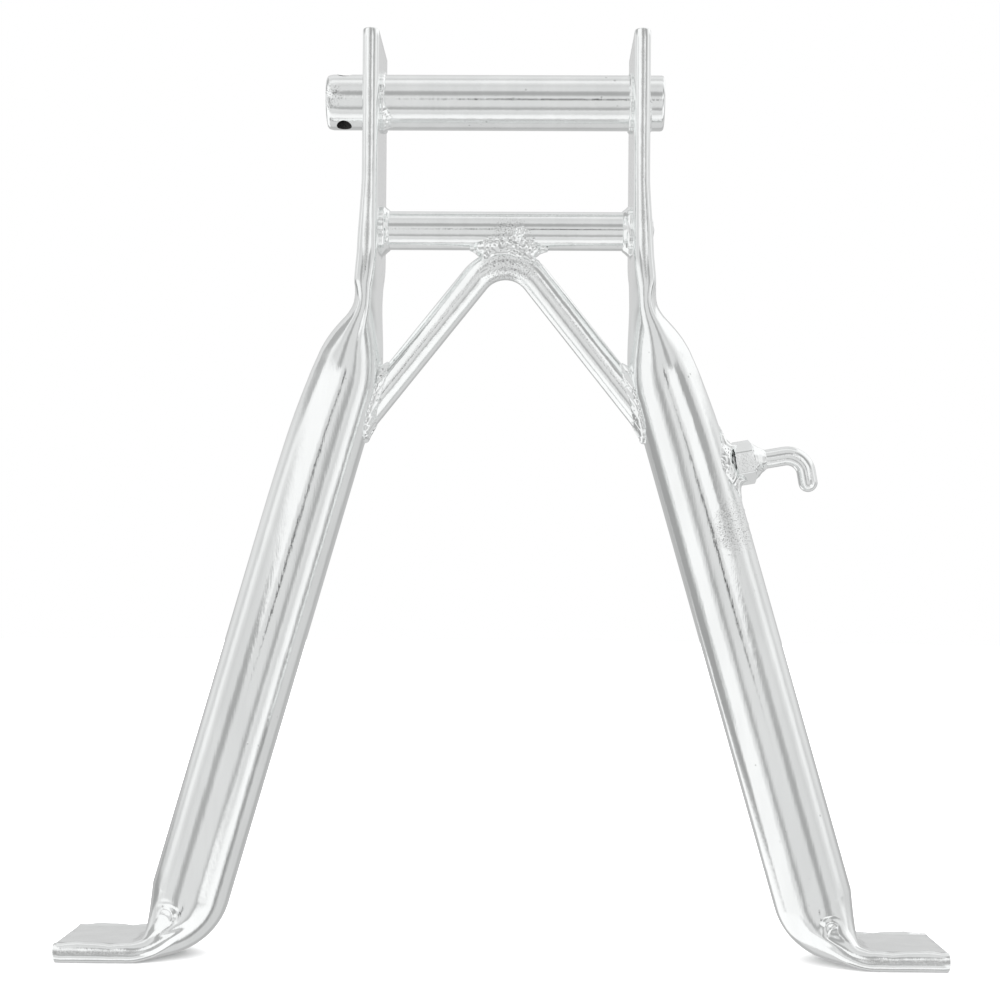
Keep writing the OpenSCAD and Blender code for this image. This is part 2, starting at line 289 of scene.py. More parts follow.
class NodeKit:
    """Short calls that add and join shader nodes in one node tree."""

    def __init__(self, tree: bpy.types.NodeTree) -> None:
        """Keeps the tree that nodes go into."""
        self.tree = tree
        self.column = 0

    def add(self, kind: str, **settings: object) -> bpy.types.Node:
        """Adds a node of a kind with the given attributes.

        Args:
            kind: type name of the node.
            settings: attributes of the node by name.

        Returns:
            The new node.
        """
        made = self.tree.nodes.new(kind)
        made.location = (180 * self.column, 0)
        self.column += 1
        for name, value in settings.items():
            setattr(made, name, value)
        return made

    def feed(self, target: bpy.types.NodeSocket, source: object) -> None:
        """Links a socket to a target, or sets the target's value.

        Args:
            target: the input socket.
            source: a socket to link, or a plain value.
        """
        if isinstance(source, bpy.types.NodeSocket):
            self.tree.links.new(source, target)
        else:
            target.default_value = source

    def math(self, operation: str, *inputs: object, clamp: bool = False) -> bpy.types.NodeSocket:
        """Adds a Math node.

        Args:
            operation: name of the operation.
            inputs: sockets or plain values, in order.
            clamp: whether the result is held between 0 and 1.

        Returns:
            The result's socket.
        """
        made = self.add("ShaderNodeMath", operation=operation, use_clamp=clamp)
        for socket, value in zip(made.inputs, inputs):
            self.feed(socket, value)
        return made.outputs[0]

    def noise(self, vector: object, scale: float, detail: float = 2.0,
              roughness: float = 0.5) -> bpy.types.NodeSocket:
        """Adds a noise texture.

        Args:
            vector: socket of the place.
            scale: scale of the noise.
            detail: number of octaves.
            roughness: weight of the finer octaves.

        Returns:
            The value's socket.
        """
        made = self.add("ShaderNodeTexNoise")
        self.feed(made.inputs["Vector"], vector)
        self.feed(made.inputs["Scale"], scale)
        made.inputs["Detail"].default_value = detail
        made.inputs["Roughness"].default_value = roughness
        return made.outputs["Fac"]

    def remap(self, value: object, low: float, high: float, to_low: float = 0.0,
              to_high: float = 1.0) -> bpy.types.NodeSocket:
        """Maps a range of a value smoothly to another range.

        Args:
            value: the value.
            low: start of its range.
            high: end of its range.
            to_low: result at the start.
            to_high: result at the end.

        Returns:
            The result's socket.
        """
        made = self.add("ShaderNodeMapRange", interpolation_type="SMOOTHSTEP")
        names = ("Value", "From Min", "From Max", "To Min", "To Max")
        for name, given in zip(names, (value, low, high, to_low, to_high)):
            self.feed(made.inputs[name], given)
        return made.outputs["Result"]

    def between(self, value: object, span: tuple[float, float], edge: float) -> bpy.types.NodeSocket:
        """1 where a value lies in a span, falling to 0 over an edge outside it.

        Args:
            value: the value.
            span: low and high end of the span.
            edge: width of the fall.

        Returns:
            The result's socket.
        """
        rise = self.remap(value, span[0] - edge, span[0])
        fall = self.remap(value, span[1], span[1] + edge, 1.0, 0.0)
        return self.math("MULTIPLY", rise, fall)

    def blend(self, share: object, first: object, second: object) -> bpy.types.NodeSocket:
        """Mixes two colours by a share.

        Args:
            share: share of the second colour.
            first: the first colour.
            second: the second colour.

        Returns:
            The mixed colour's socket.
        """
        made = self.add("ShaderNodeMix", data_type="RGBA", blend_type="MIX")
        self.feed(made.inputs["Factor"], share)
        self.feed(made.inputs[6], first)
        self.feed(made.inputs[7], second)
        return made.outputs[2]

    def ramp(self, value: object, stops: Sequence[tuple[float, float]]) -> bpy.types.NodeSocket:
        """Adds a grey ramp through stops of place and level.

        Args:
            value: place on the ramp.
            stops: place and grey level of each stop.

        Returns:
            The colour's socket.
        """
        made = self.add("ShaderNodeValToRGB")
        made.color_ramp.interpolation = "LINEAR"
        elements = made.color_ramp.elements
        while len(elements) < len(stops):
            elements.new(0.5)
        for element, (place, level) in zip(elements, stops):
            element.position = place
            element.color = grey(level)
        self.feed(made.inputs["Fac"], value)
        return made.outputs["Color"]

    def group(self, tree: bpy.types.NodeTree, **given: object) -> bpy.types.Node:
        """Adds a node group and feeds its inputs.

        Args:
            tree: the group's node tree.
            given: socket or plain value of each input, by its name.

        Returns:
            The group's node.
        """
        made = self.add("ShaderNodeGroup", node_tree=tree)
        for name, value in given.items():
            self.feed(made.inputs[name], value)
        return made

    def bump(self, shader: bpy.types.Node, height: bpy.types.NodeSocket, strength: float,
             distance: float) -> None:
        """Bumps the surface of a shader.

        Args:
            shader: the shader's node.
            height: socket of the height.
            strength: share of the bump that shows.
            distance: height of a full bump, in metres.
        """
        made = self.add("ShaderNodeBump")
        for name, value in (("Strength", strength), ("Distance", distance), ("Height", height)):
            self.feed(made.inputs[name], value)
        self.feed(shader.inputs["Normal"], made.outputs["Normal"])


def new_group(name: str, inputs: Sequence[tuple[str, str, float]],
              outputs: Sequence[tuple[str, str]]) -> tuple[bpy.types.NodeTree, NodeKit, dict, dict]:
    """An empty shader node group with named sockets.

    Args:
        name: name of the group.
        inputs: name, socket type and default of each input.
        outputs: name and socket type of each output.

    Returns:
        The group, its kit, and its input and output sockets by name.
    """
    tree = bpy.data.node_groups.new(name, "ShaderNodeTree")
    for label, kind, default in inputs:
        socket = tree.interface.new_socket(label, in_out="INPUT", socket_type=kind)
        if kind == "NodeSocketFloat":
            socket.default_value = default
    for label, kind in outputs:
        tree.interface.new_socket(label, in_out="OUTPUT", socket_type=kind)
    kit = NodeKit(tree)
    entry = kit.add("NodeGroupInput")
    leave = kit.add("NodeGroupOutput")
    return tree, kit, {s.name: s for s in entry.outputs}, {s.name: s for s in leave.inputs}


def plating_grain_group() -> bpy.types.NodeTree:
    """Fine waviness and cloudiness of bright plating.

    Returns:
        A group that puts out a height for a bump, a roughness and a tone.
    """
    found = bpy.data.node_groups.get("plating_grain")
    if found:
        return found
    tree, kit, given, result = new_group(
        "plating_grain",
        [("Vector", "NodeSocketVector", 0.0), ("Grain", "NodeSocketFloat", 900.0),
         ("Roughness", "NodeSocketFloat", 0.1), ("Cloud", "NodeSocketFloat", 0.04)],
        [("Height", "NodeSocketFloat"), ("Roughness", "NodeSocketFloat"), ("Tone", "NodeSocketColor")])
    wave = kit.noise(given["Vector"], given["Grain"], 3.0, 0.55)
    dent = kit.noise(given["Vector"], kit.math("MULTIPLY", given["Grain"], 0.12), 2.0)
    kit.feed(result["Height"], kit.math("ADD", kit.math("MULTIPLY", wave, 0.35), dent))
    cloud = kit.noise(given["Vector"], kit.math("MULTIPLY", given["Grain"], 0.05), 4.0, 0.6)
    patch = kit.remap(cloud, 0.35, 0.7, -1.0, 1.0)
    kit.feed(result["Roughness"], kit.math("MULTIPLY_ADD", patch, given["Cloud"], given["Roughness"]))
    level = kit.math("MULTIPLY_ADD", patch, 0.025, 0.96)
    tone = kit.add("ShaderNodeCombineColor")
    kit.feed(tone.inputs["Red"], kit.math("MULTIPLY", level, 0.985))
    kit.feed(tone.inputs["Green"], level)
    kit.feed(tone.inputs["Blue"], kit.math("MULTIPLY", level, 0.997))
    kit.feed(result["Tone"], tone.outputs["Color"])
    return tree


def blemish_group() -> bpy.types.NodeTree:
    """Small dull marks and pits in plating.

    Returns:
        A group that puts out a mask of the marks, from 0 to 1.
    """
    found = bpy.data.node_groups.get("plating_blemish")
    if found:
        return found
    tree, kit, given, result = new_group(
        "plating_blemish",
        [("Vector", "NodeSocketVector", 0.0), ("Size", "NodeSocketFloat", 260.0),
         ("Amount", "NodeSocketFloat", 0.1)],
        [("Mask", "NodeSocketFloat")])
    cells = kit.add("ShaderNodeTexVoronoi", feature="F1")
    kit.feed(cells.inputs["Vector"], given["Vector"])
    kit.feed(cells.inputs["Scale"], given["Size"])
    fields = kit.noise(given["Vector"], kit.math("MULTIPLY", given["Size"], 0.15), 3.0)
    reach = kit.math("MULTIPLY", kit.remap(fields, 0.48, 0.72), given["Amount"])
    near = kit.math("SUBTRACT", reach, cells.outputs["Distance"])
    kit.feed(result["Mask"], kit.remap(near, -0.06, 0.06))
    return tree


def spatter_group() -> bpy.types.NodeTree:
    """Weld spatter and scale round one place, fading out with distance.

    Returns:
        A group that puts out a mask of dark specks and a height for a bump.
    """
    found = bpy.data.node_groups.get("weld_spatter")
    if found:
        return found
    tree, kit, given, result = new_group(
        "weld_spatter",
        [("Vector", "NodeSocketVector", 0.0), ("Centre", "NodeSocketVector", 0.0),
         ("Reach", "NodeSocketFloat", 0.01)],
        [("Specks", "NodeSocketFloat"), ("Height", "NodeSocketFloat")])
    span = kit.add("ShaderNodeVectorMath", operation="DISTANCE")
    kit.feed(span.inputs[0], given["Vector"])
    kit.feed(span.inputs[1], given["Centre"])
    share = kit.math("DIVIDE", span.outputs["Value"], given["Reach"])
    ragged = kit.noise(given["Vector"], 300.0, 3.0)
    frayed = kit.math("MULTIPLY_ADD", ragged, 0.8, kit.math("SUBTRACT", share, 0.4))
    near = kit.remap(frayed, 0.45, 1.0, 1.0, 0.0)
    grains = kit.noise(given["Vector"], 1500.0, 3.0, 0.6)
    kit.feed(result["Height"], kit.math("MULTIPLY", grains, near))
    specks = kit.remap(kit.noise(given["Vector"], 2300.0, 2.0, 0.6), 0.56, 0.64)
    kit.feed(result["Specks"], kit.math("MULTIPLY", specks, near))
    return tree


def fold_group() -> bpy.types.NodeTree:
    """Speckled dark line along the folded edges of a crushed tube, where the mesh says "fold".

    Returns:
        A group that puts out a mask of the line, from 0 to 1.
    """
    found = bpy.data.node_groups.get("fold_line")
    if found:
        return found
    tree, kit, given, result = new_group(
        "fold_line",
        [("Vector", "NodeSocketVector", 0.0), ("Amount", "NodeSocketFloat", 0.6)],
        [("Mask", "NodeSocketFloat")])
    near = kit.add("ShaderNodeAttribute", attribute_name="fold").outputs["Fac"]
    speckle = kit.noise(given["Vector"], 2600.0, 2.0, 0.7)
    wander = kit.noise(given["Vector"], 160.0, 2.0)
    wavy = kit.math("MULTIPLY_ADD", wander, 0.4, kit.math("SUBTRACT", near, 0.2))
    line = kit.remap(wavy, 0.62, 0.97)
    broken = kit.math("MULTIPLY", line, kit.remap(speckle, 0.3, 0.62, 0.3, 1.0))
    kit.feed(result["Mask"], kit.math("MULTIPLY", broken, given["Amount"]))
    return tree


# Finishes


Colour = tuple[float, float, float, float]


def new_material(name: str) -> tuple[bpy.types.Material, NodeKit, bpy.types.Node, bpy.types.NodeSocket]:
    """A new material, ready for its nodes.

    Args:
        name: name of the material.

    Returns:
        The material, its kit, its shader and the socket of its object coordinates.
    """
    material = bpy.data.materials.new(name)
    material.use_nodes = True
    kit = NodeKit(material.node_tree)
    place = kit.add("ShaderNodeTexCoord").outputs["Object"]
    return material, kit, material.node_tree.nodes["Principled BSDF"], place


@dataclass(frozen=True)
class BrightPlating:
    """Bright zinc plating on drawn tube or rod, its faint drawing lines along one direction."""

    name: str
    along: float = 0.0
    stretch: float = 1.0
    roughness: float = 0.085
    cloud: float = 0.02
    grain: float = 2200.0
    bump: float = 0.16
    marks: float = 0.10
    fold: float = 0.0
    spatter_at: tuple[float, float, float] = (0.0, 0.0, 0.0)
    spatter_reach: float = 0.0
    mark_tone: Colour = (0.62, 0.635, 0.63, 1.0)
    fold_tone: Colour = (0.5, 0.505, 0.5, 1.0)
    speck_tone: Colour = grey(0.2)

    def build(self) -> bpy.types.Material:
        """Builds the material.

        Returns:
            The finished material.
        """
        material, kit, shader, place = new_material(self.name)
        lay = kit.add("ShaderNodeMapping")
        kit.feed(lay.inputs["Vector"], place)
        lay.inputs["Rotation"].default_value = (0.0, math.radians(self.along), 0.0)
        lay.inputs["Scale"].default_value = (1.0, 1.0, 1.0 / self.stretch)
        grain = kit.group(plating_grain_group(), Vector=lay.outputs["Vector"], Grain=self.grain,
                          Roughness=self.roughness, Cloud=self.cloud)
        marks = kit.group(blemish_group(), Vector=place, Amount=self.marks).outputs["Mask"]
        tone = kit.blend(marks, grain.outputs["Tone"], self.mark_tone)
        seam = kit.group(fold_group(), Vector=place, Amount=self.fold).outputs["Mask"]
        tone = kit.blend(seam, tone, self.fold_tone)
        height = kit.math("MULTIPLY_ADD", marks, -0.4, grain.outputs["Height"])
        if self.spatter_reach:
            centre = [value * MM for value in self.spatter_at]
            spatter = kit.group(spatter_group(), Vector=place, Centre=centre, Reach=self.spatter_reach * MM)
            tone = kit.blend(kit.math("MULTIPLY", spatter.outputs["Specks"], 0.7), tone, self.speck_tone)
            height = kit.math("MULTIPLY_ADD", spatter.outputs["Height"], 1.7, height)
        kit.feed(shader.inputs["Base Color"], tone)
        shader.inputs["Metallic"].default_value = 1.0
        rough = kit.math("MULTIPLY_ADD", marks, 0.12, grain.outputs["Roughness"])
        kit.feed(shader.inputs["Roughness"], kit.math("MULTIPLY_ADD", seam, 0.35, rough, clamp=True))
        kit.bump(shader, height, self.bump, 0.0004)
        return material


@dataclass(frozen=True)
class PlatedWeld:
    """Bright plating over the ripples and pits of a weld bead."""

    name: str = "plated_weld_bead"
    roughness: float = 0.09
    cloud: float = 0.05
    grain: float = 1100.0
    bump: float = 0.09
    pit_size: float = 1500.0
    pits: float = 0.34
    pit_tone: Colour = grey(0.14)

    def build(self) -> bpy.types.Material:
        """Builds the material.

        Returns:
            The finished material.
        """
        material, kit, shader, place = new_material(self.name)
        grain = kit.group(plating_grain_group(), Vector=place, Grain=self.grain,
                          Roughness=self.roughness, Cloud=self.cloud)
        pits = kit.group(blemish_group(), Vector=place, Size=self.pit_size, Amount=self.pits).outputs["Mask"]
        kit.feed(shader.inputs["Base Color"], kit.blend(pits, grain.outputs["Tone"], self.pit_tone))
        shader.inputs["Metallic"].default_value = 1.0
        kit.feed(shader.inputs["Roughness"], grain.outputs["Roughness"])
        kit.bump(shader, kit.math("MULTIPLY_ADD", pits, -0.6, grain.outputs["Height"]), self.bump, 0.0005)
        return material


@dataclass(frozen=True)
class BorePaintedShade:
    """Painted shade inside a bore: a near-black colour with a faint scaly texture, standing in for the shade
    in the hollow.
    """

    name: str = "bore_painted_shade"
    roughness: float = 0.62

    def build(self) -> bpy.types.Material:
        """Builds the material.

        Returns:
            The finished material.
        """
        material, kit, shader, place = new_material(self.name)
        scale = kit.noise(place, 1500.0, 3.0, 0.6)
        colour = kit.add("ShaderNodeCombineColor")
        # Near-black base colour: painted shade for the inside of the bore and the pin hole.
        for channel, base in (("Red", 0.010), ("Green", 0.0095), ("Blue", 0.009)):
            kit.feed(colour.inputs[channel], kit.math("MULTIPLY_ADD", scale, 0.012, base))
        kit.feed(shader.inputs["Base Color"], colour.outputs["Color"])
        kit.feed(shader.inputs["Roughness"], kit.math("MULTIPLY_ADD", scale, 0.2, self.roughness))
        kit.bump(shader, scale, 0.4, 0.0003)
        return material


@dataclass(frozen=True)
class PaleFloor:
    """Plain pale floor with a very faint unevenness."""

    name: str = "pale_floor"
    tone: float = 0.86

    def build(self) -> bpy.types.Material:
        """Builds the material.

        Returns:
            The finished material.
        """
        material, kit, shader, place = new_material(self.name)
        cloud = kit.noise(place, 6.0, 3.0)
        tone = kit.math("MULTIPLY_ADD", cloud, 0.02, self.tone)
        colour = kit.add("ShaderNodeCombineColor")
        for channel in ("Red", "Green", "Blue"):
            kit.feed(colour.inputs[channel], tone)
        kit.feed(shader.inputs["Base Color"], colour.outputs["Color"])
        shader.inputs["Roughness"].default_value = 0.9
        shader.inputs["Specular IOR Level"].default_value = 0.1
        return material


# The stand


class Ring(NamedTuple):
    """A section of the leg tube: its middle, tilt in degrees and thickness now and when crushed."""

    x: float
    z: float
    tilt: float
    thick: float
    flat: float


def ease(f: float) -> float:
    """Smooth step from 0 to 1."""
    return f * f * (3 - 2 * f)


def read_table(table: Sequence[tuple[float, float]], place: float) -> float:
    """Smooth value at a place of a table of places and values, with its last value beyond each end.

    Args:
        table: places and values, in any order.
        place: the place to read.

    Returns:
        The value.
    """
    places, values = (np.array(column, float) for column in zip(*sorted(table)))
    place = float(np.clip(place, places[0], places[-1] - 1e-6))
    slopes = np.gradient(values, places)
    slopes[[0, -1]] = 0.0
    i = int(np.searchsorted(places, place, side="right")) - 1
    step = places[i + 1] - places[i]
    t = (place - places[i]) / step
    ends = (1 + 2 * t) * (1 - t) ** 2 * values[i] + t * t * (3 - 2 * t) * values[i + 1]
    return ends + step * (t * (1 - t) ** 2 * slopes[i] - t * t * (1 - t) * slopes[i + 1])


@dataclass
class CrushedLeg:
    """One tube crushed flat at both ends: ear, knee, straight leg, ankle and foot.

    The shoulder and ear_foot tables give how far the outer side and the ear's edges stand out at a
    height z. The cuts for the tubes lie inside the tubes' walls.
    """

    side: Side
    tube_d: float = 26.0
    wall: float = 2.3
    splay: float = SPLAY
    stand_h: float = STAND_H
    ear_gap: float = 83.0
    ear_top: float = 19.4
    ear_drop: float = 51.1
    opening: float = 46.0
    ear_slit: float = 0.7
    knee_r: float = 50.0
    foot_slit: float = 1.6
    ankle_r: float = 23.7
    heel_r: float = 4.0
    heel_out: float = 1.4
    foot_length: float = 23.7
    rim: float = 0.45
    shoulder: tuple[tuple[float, float], ...] = (
        (-62, 0), (-63.5, -0.15), (-66, -1.5), (-69.3, -2.85), (-72.6, -3.0), (-76, -2.3), (-80, -1.75),
        (-84, -1.65), (-89.3, -1.95), (-95.9, -1.75), (-102.6, -1.1), (-110, -0.6), (-125, -0.15),
        (-140, 0))
    ear_foot: tuple[tuple[float, float], ...] = (
        (-28, 0), (-37, 0.45), (-44, 0.95), (-48.6, 1.25), (-53.7, 1.45),
        (-58.9, 1.5), (-61.5, 1.25), (-64, 0.75), (-67, 0.3), (-71, 0))
    pivot_cut_r: float = 7.6
    cross_cut_r: float = 5.3
    bulb: float = 1.15
    bulb_width: float = 4.6
    dent: float = 0.07
    pucker: tuple[float, float] = (109.6, -270.4)
    pucker_h: float = 0.42
    side_steps: int = 44
    edge_steps: int = 20
    opening_steps: int = 36
    straight_steps: int = 30
    ankle_steps: int = 92

    @property
    def ear_t(self) -> float:
        """Thickness of the crushed ear."""
        return 2 * self.wall + self.ear_slit

    @property
    def foot_t(self) -> float:
        """Thickness of the crushed foot."""
        return 2 * self.wall + self.foot_slit

    @property
    def ear_x(self) -> float:
        """Middle plane of the ear."""
        return self.ear_gap / 2 + self.ear_t / 2

    def middle(self, d: float) -> tuple[float, float, float]:
        """Middle line of the right leg.

        Args:
            d: length along the line below the pivot axis.

        Returns:
            X, z and tilt in degrees.
        """
        knee = self.knee_r * math.radians(self.splay)
        if d <= self.ear_drop:
            return self.ear_x, -d, 0.0
        turn = min((d - self.ear_drop) / self.knee_r, math.radians(self.splay))
        x = self.ear_x + self.knee_r * (1 - math.cos(turn))
        z = -self.ear_drop - self.knee_r * math.sin(turn)
        rest = max(d - self.ear_drop - knee, 0.0)
        return x + rest * math.sin(turn), z - rest * math.cos(turn), math.degrees(turn)

    def straight_x(self, z: float) -> float:
        """Middle of the straight leg at a height z."""
        x, knee_z, _ = self.middle(self.ear_drop + self.knee_r * math.radians(self.splay))
        return x + (knee_z - z) * math.tan(math.radians(self.splay))

    def ear_rings(self) -> list[Ring]:
        """Rings from the ear's top down to where the tube is round.

        Returns:
            The rings, from top to bottom.
        """
        rings = [Ring(self.ear_x, z, 0.0, self.ear_t, self.ear_t)
                 for z in np.linspace(self.ear_top, -self.ear_drop, 24)[:-1]]
        for i in range(self.opening_steps + 1):
            f = i / self.opening_steps
            grown = self.ear_t + (self.tube_d - self.ear_t) * ease(f)
            rings.append(Ring(*self.middle(self.ear_drop + f * self.opening), grown, self.ear_t))
        return rings

    def ankle_rings(self) -> list[Ring]:
        """Rings from the lower end of the straight leg to the foot's tip.

        Returns:
            The rings, from top to tip.
        """
        lean = math.radians(self.splay)
        across = np.array([math.cos(lean), math.sin(lean)])
        offset = self.ankle_r - self.tube_d / 2
        start_z = self.ankle_r - self.stand_h - offset * math.sin(lean)
        start = np.array([self.straight_x(start_z), start_z])
        centre = start + offset * across
        flank_top = start + self.tube_d / 2 * across
        fold = np.array([flank_top[0] + self.heel_out + self.heel_r,
                         self.foot_t - self.stand_h + self.heel_r])
        flank = np.linalg.norm(fold - [self.heel_r, 0] - flank_top)
        sole_arc = self.ankle_r * (math.pi / 2 - lean)
        sole_run = fold[0] - centre[0]

        def sole(s: float) -> Points:
            """Point of the underside.

            Args:
                s: length along the underside.

            Returns:
                The point's x and z.
            """
            if s >= sole_arc:
                return np.array([centre[0] + s - sole_arc, -self.stand_h])
            turn = lean + s / self.ankle_r
            return centre - self.ankle_r * np.array([math.cos(turn), math.sin(turn)])

        def top(s: float) -> Points:
            """Point of the upper side.

            Args:
                s: length along the upper side.

            Returns:
                The point's x and z.
            """
            if s < flank:
                return flank_top + (fold - [self.heel_r, 0] - flank_top) * s / flank
            turn = (s - flank) / self.heel_r
            return fold - self.heel_r * np.array([math.cos(turn), math.sin(turn)])

        rings = []
        for i in range(self.ankle_steps + 1):
            f = i / self.ankle_steps
            p, q = sole(f * (sole_arc + sole_run)), top(f * (flank + self.heel_r * math.pi / 2))
            tilt = math.degrees(math.atan2(q[1] - p[1], q[0] - p[0]))
            rings.append(Ring(*((p + q) / 2), tilt, float(np.linalg.norm(q - p)), self.foot_t))
        for x in np.linspace(fold[0], fold[0] + self.foot_length, 10)[1:]:
            rings.append(Ring(x, self.foot_t / 2 - self.stand_h, 90.0, self.foot_t, self.foot_t))
        return rings

    def rings(self) -> list[Ring]:
        """All rings, from the ear's top to the foot's tip.

        Returns:
            The rings in order.
        """
        upper, lower = self.ear_rings(), self.ankle_rings()
        a, b = upper[-1], lower[0]
        between = [Ring(a.x + (b.x - a.x) * f, a.z + (b.z - a.z) * f, self.splay, self.tube_d,
                        a.flat + (b.flat - a.flat) * f)
                   for f in np.linspace(0, 1, self.straight_steps + 1)[1:-1]]
        return upper + between + lower

    def section(self, ring: Ring, inset: float) -> Points:
        """Outline of a ring's section, drawn in from the outer skin.

        Args:
            ring: the ring.
            inset: distance from the outer skin.

        Returns:
            Points as distance across the thickness and along Y.
        """
        opened = (ring.thick - ring.flat) / (self.tube_d - ring.flat)
        flat_side = math.pi * (self.tube_d - ring.flat) / 4
        edge_r = ring.flat / 2
        side_angle = math.pi / 2 * (self.tube_d - ring.flat) / self.tube_d
        f = 2 * np.arange(self.side_steps) / self.side_steps - 1
        g = np.arange(self.edge_steps) / self.edge_steps
        flat_turn = np.concatenate([np.zeros_like(f), math.pi * g])
        round_turn = np.concatenate([f * side_angle, side_angle + (math.pi - 2 * side_angle) * g])
        flat_skin = np.concatenate([
            np.stack([np.full_like(f, edge_r), f * flat_side], 1),
            np.stack([edge_r * np.cos(math.pi * g), flat_side + edge_r * np.sin(math.pi * g)], 1)])
        flat_out = np.stack([np.cos(flat_turn), np.sin(flat_turn)], 1)
        round_out = np.stack([np.cos(round_turn), np.sin(round_turn)], 1)
        facing = (1 - opened) * flat_out + opened * round_out
        facing /= np.linalg.norm(facing, axis=1)[:, None]
        half = (1 - opened) * flat_skin + opened * self.tube_d / 2 * round_out - inset * facing
        return np.concatenate([half, -half])

    def swell(self, ring: Ring, flat: Points) -> Points:
        """How far the outer side leaves the smooth shape.

        The knee has a shoulder, the ear thicker edges, and the foot dents and rising folded edges.

        Args:
            ring: the ring.
            flat: outline of its section.

        Returns:
            Distance outward at each point.
        """
        outer = np.clip(0.5 + flat[:, 0] / ring.thick, 0, 1)
        half_w = math.pi * (self.tube_d - ring.flat) / 4 + ring.flat / 2
        if ring.tilt <= self.splay:
            edge = np.clip(np.abs(flat[:, 1]) / half_w / 0.45 - 1.0, 0, 1)
            rise = read_table(self.ear_foot, ring.z) * edge * edge * (3 - 2 * edge)
            return (rise + read_table(self.shoulder, ring.z)) * outer
        share = ease(min((ring.tilt - self.splay) / (90 - self.splay), 1.0))
        wave = 0.8 * math.sin(0.33 * ring.x + 0.6) + 0.45 * math.sin(0.83 * ring.x)
        f = np.clip((np.abs(flat[:, 1]) - half_w + self.bulb_width + wave) / self.bulb_width, 0, 1)
        phase = 0.40 * ring.x + 1.3 * self.side.value
        dents = 1 + np.sin(phase + 0.35 * flat[:, 1]) * np.cos(0.27 * flat[:, 1] - 0.5 * phase)
        return (self.bulb * f * f * (3 - 2 * f) - self.dent * dents * (1 - f)) * share * outer

    def crumple(self, x: Points, y: Points, z: Points) -> Points:
        """Height of the curled wrinkle where the wall of the tube folds into the foot.

        Args:
            x: x of each point, for the right leg.
            y: y of each point.
            z: z of each point.

        Returns:
            Way along Y at each point.
        """
        u, v = x - self.pucker[0], z - self.pucker[1]
        r, turn = np.hypot(u, v), np.arctan2(v, u)
        core = np.exp(-(r / 1.3) ** 2)
        groove = np.exp(-((r - 2.5) / 1.0) ** 2) * np.clip(0.4 + np.cos(turn - 2.3), 0, 1)
        lip = np.exp(-((r - 4.1) / 1.2) ** 2) * np.clip(np.cos(turn - 1.2), 0, 1)
        lines = np.cos(1.5 * (v + 0.5 * u + 2.0)) * np.exp(-((u + 1.0) / 5) ** 2 - ((v + 4.0) / 2.6) ** 2)
        height = self.pucker_h * (core - 0.9 * groove + 0.5 * lip + 0.5 * lines)
        return -np.sign(y) * height * np.clip(np.abs(y) / 6 - 0.6, 0, 1)

    def placed(self, ring: Ring, inset: float, shift: float = 0.0) -> Points:
        """Points of a ring's section in space.

        Args:
            ring: the ring.
            inset: distance from the outer skin.
            shift: way along the tube.

        Returns:
            The points.
        """
        tilt = math.radians(ring.tilt)
        flat = self.section(ring, inset)
        out = flat[:, 0] + self.swell(ring, flat)
        x = ring.x + out * math.cos(tilt) + shift * math.sin(tilt)
        z = ring.z + out * math.sin(tilt) - shift * math.cos(tilt)
        y = flat[:, 1] + (self.crumple(x, flat[:, 1], z) if inset == 0 else 0.0)
        return np.stack([x * self.side.value, y, z], 1)

    def folds(self, ring: Ring) -> list[float]:
        """How near each point of a ring lies to the middle of a folded edge, from 0 to 1.

        Args:
            ring: the ring.

        Returns:
            A value for each point.
        """
        crushed = max(0.0, 1 - 1.6 * (ring.thick - ring.flat) / (self.tube_d - ring.flat))
        edge = [max(0.0, 1 - abs(i / self.edge_steps - 0.5) / 0.3) for i in range(self.edge_steps)]
        return [crushed * near for near in ([0.0] * self.side_steps + edge) * 2]

    def build(self) -> bpy.types.Object:
        """Builds the leg with its rounded rims and the two holes in its ear.

        Returns:
            The leg's object.
        """
        rings = self.rings()
        first, last = rings[0], rings[-1]
        outer = [self.placed(ring, 0.0) for ring in rings[1:-1]]
        inner = [self.placed(ring, self.wall) for ring in rings[1:-1]]
        turns = [math.radians(a) for a in (0, 30, 60, 90)]
        steps = [(self.rim * (1 - math.cos(a)), self.rim * (1 - math.sin(a))) for a in turns]
        top_rim = [self.placed(first, inset, shift) for inset, shift in steps]
        tip_rim = [self.placed(last, inset, -shift) for inset, shift in steps]
        skin = top_rim[::-1] + outer + tip_rim
        loop = skin + [self.placed(last, self.wall)] + inner[::-1] + [self.placed(first, self.wall)]
        count = len(loop[0])
        name = f"{self.side.name.lower()}_leg_plated"
        leg = make_piece(name, np.concatenate(loop), loft_faces(len(loop), count, wrap=True))
        shown = [first] * len(turns) + rings[1:-1] + [last] * len(turns)
        near = [value for ring in shown for value in self.folds(ring)]
        near += [0.0] * (len(leg.data.vertices) - len(near))
        leg.data.attributes.new("fold", "FLOAT", "POINT").data.foreach_set("value", near)
        reach = sorted(self.side.value * (self.ear_gap / 2 + past) for past in (-4, 9))
        cut_away(leg, [bar_x(*reach, self.pivot_cut_r, 0.0), bar_x(*reach, self.cross_cut_r, CROSS_Z)])
        shade(leg)
        return leg


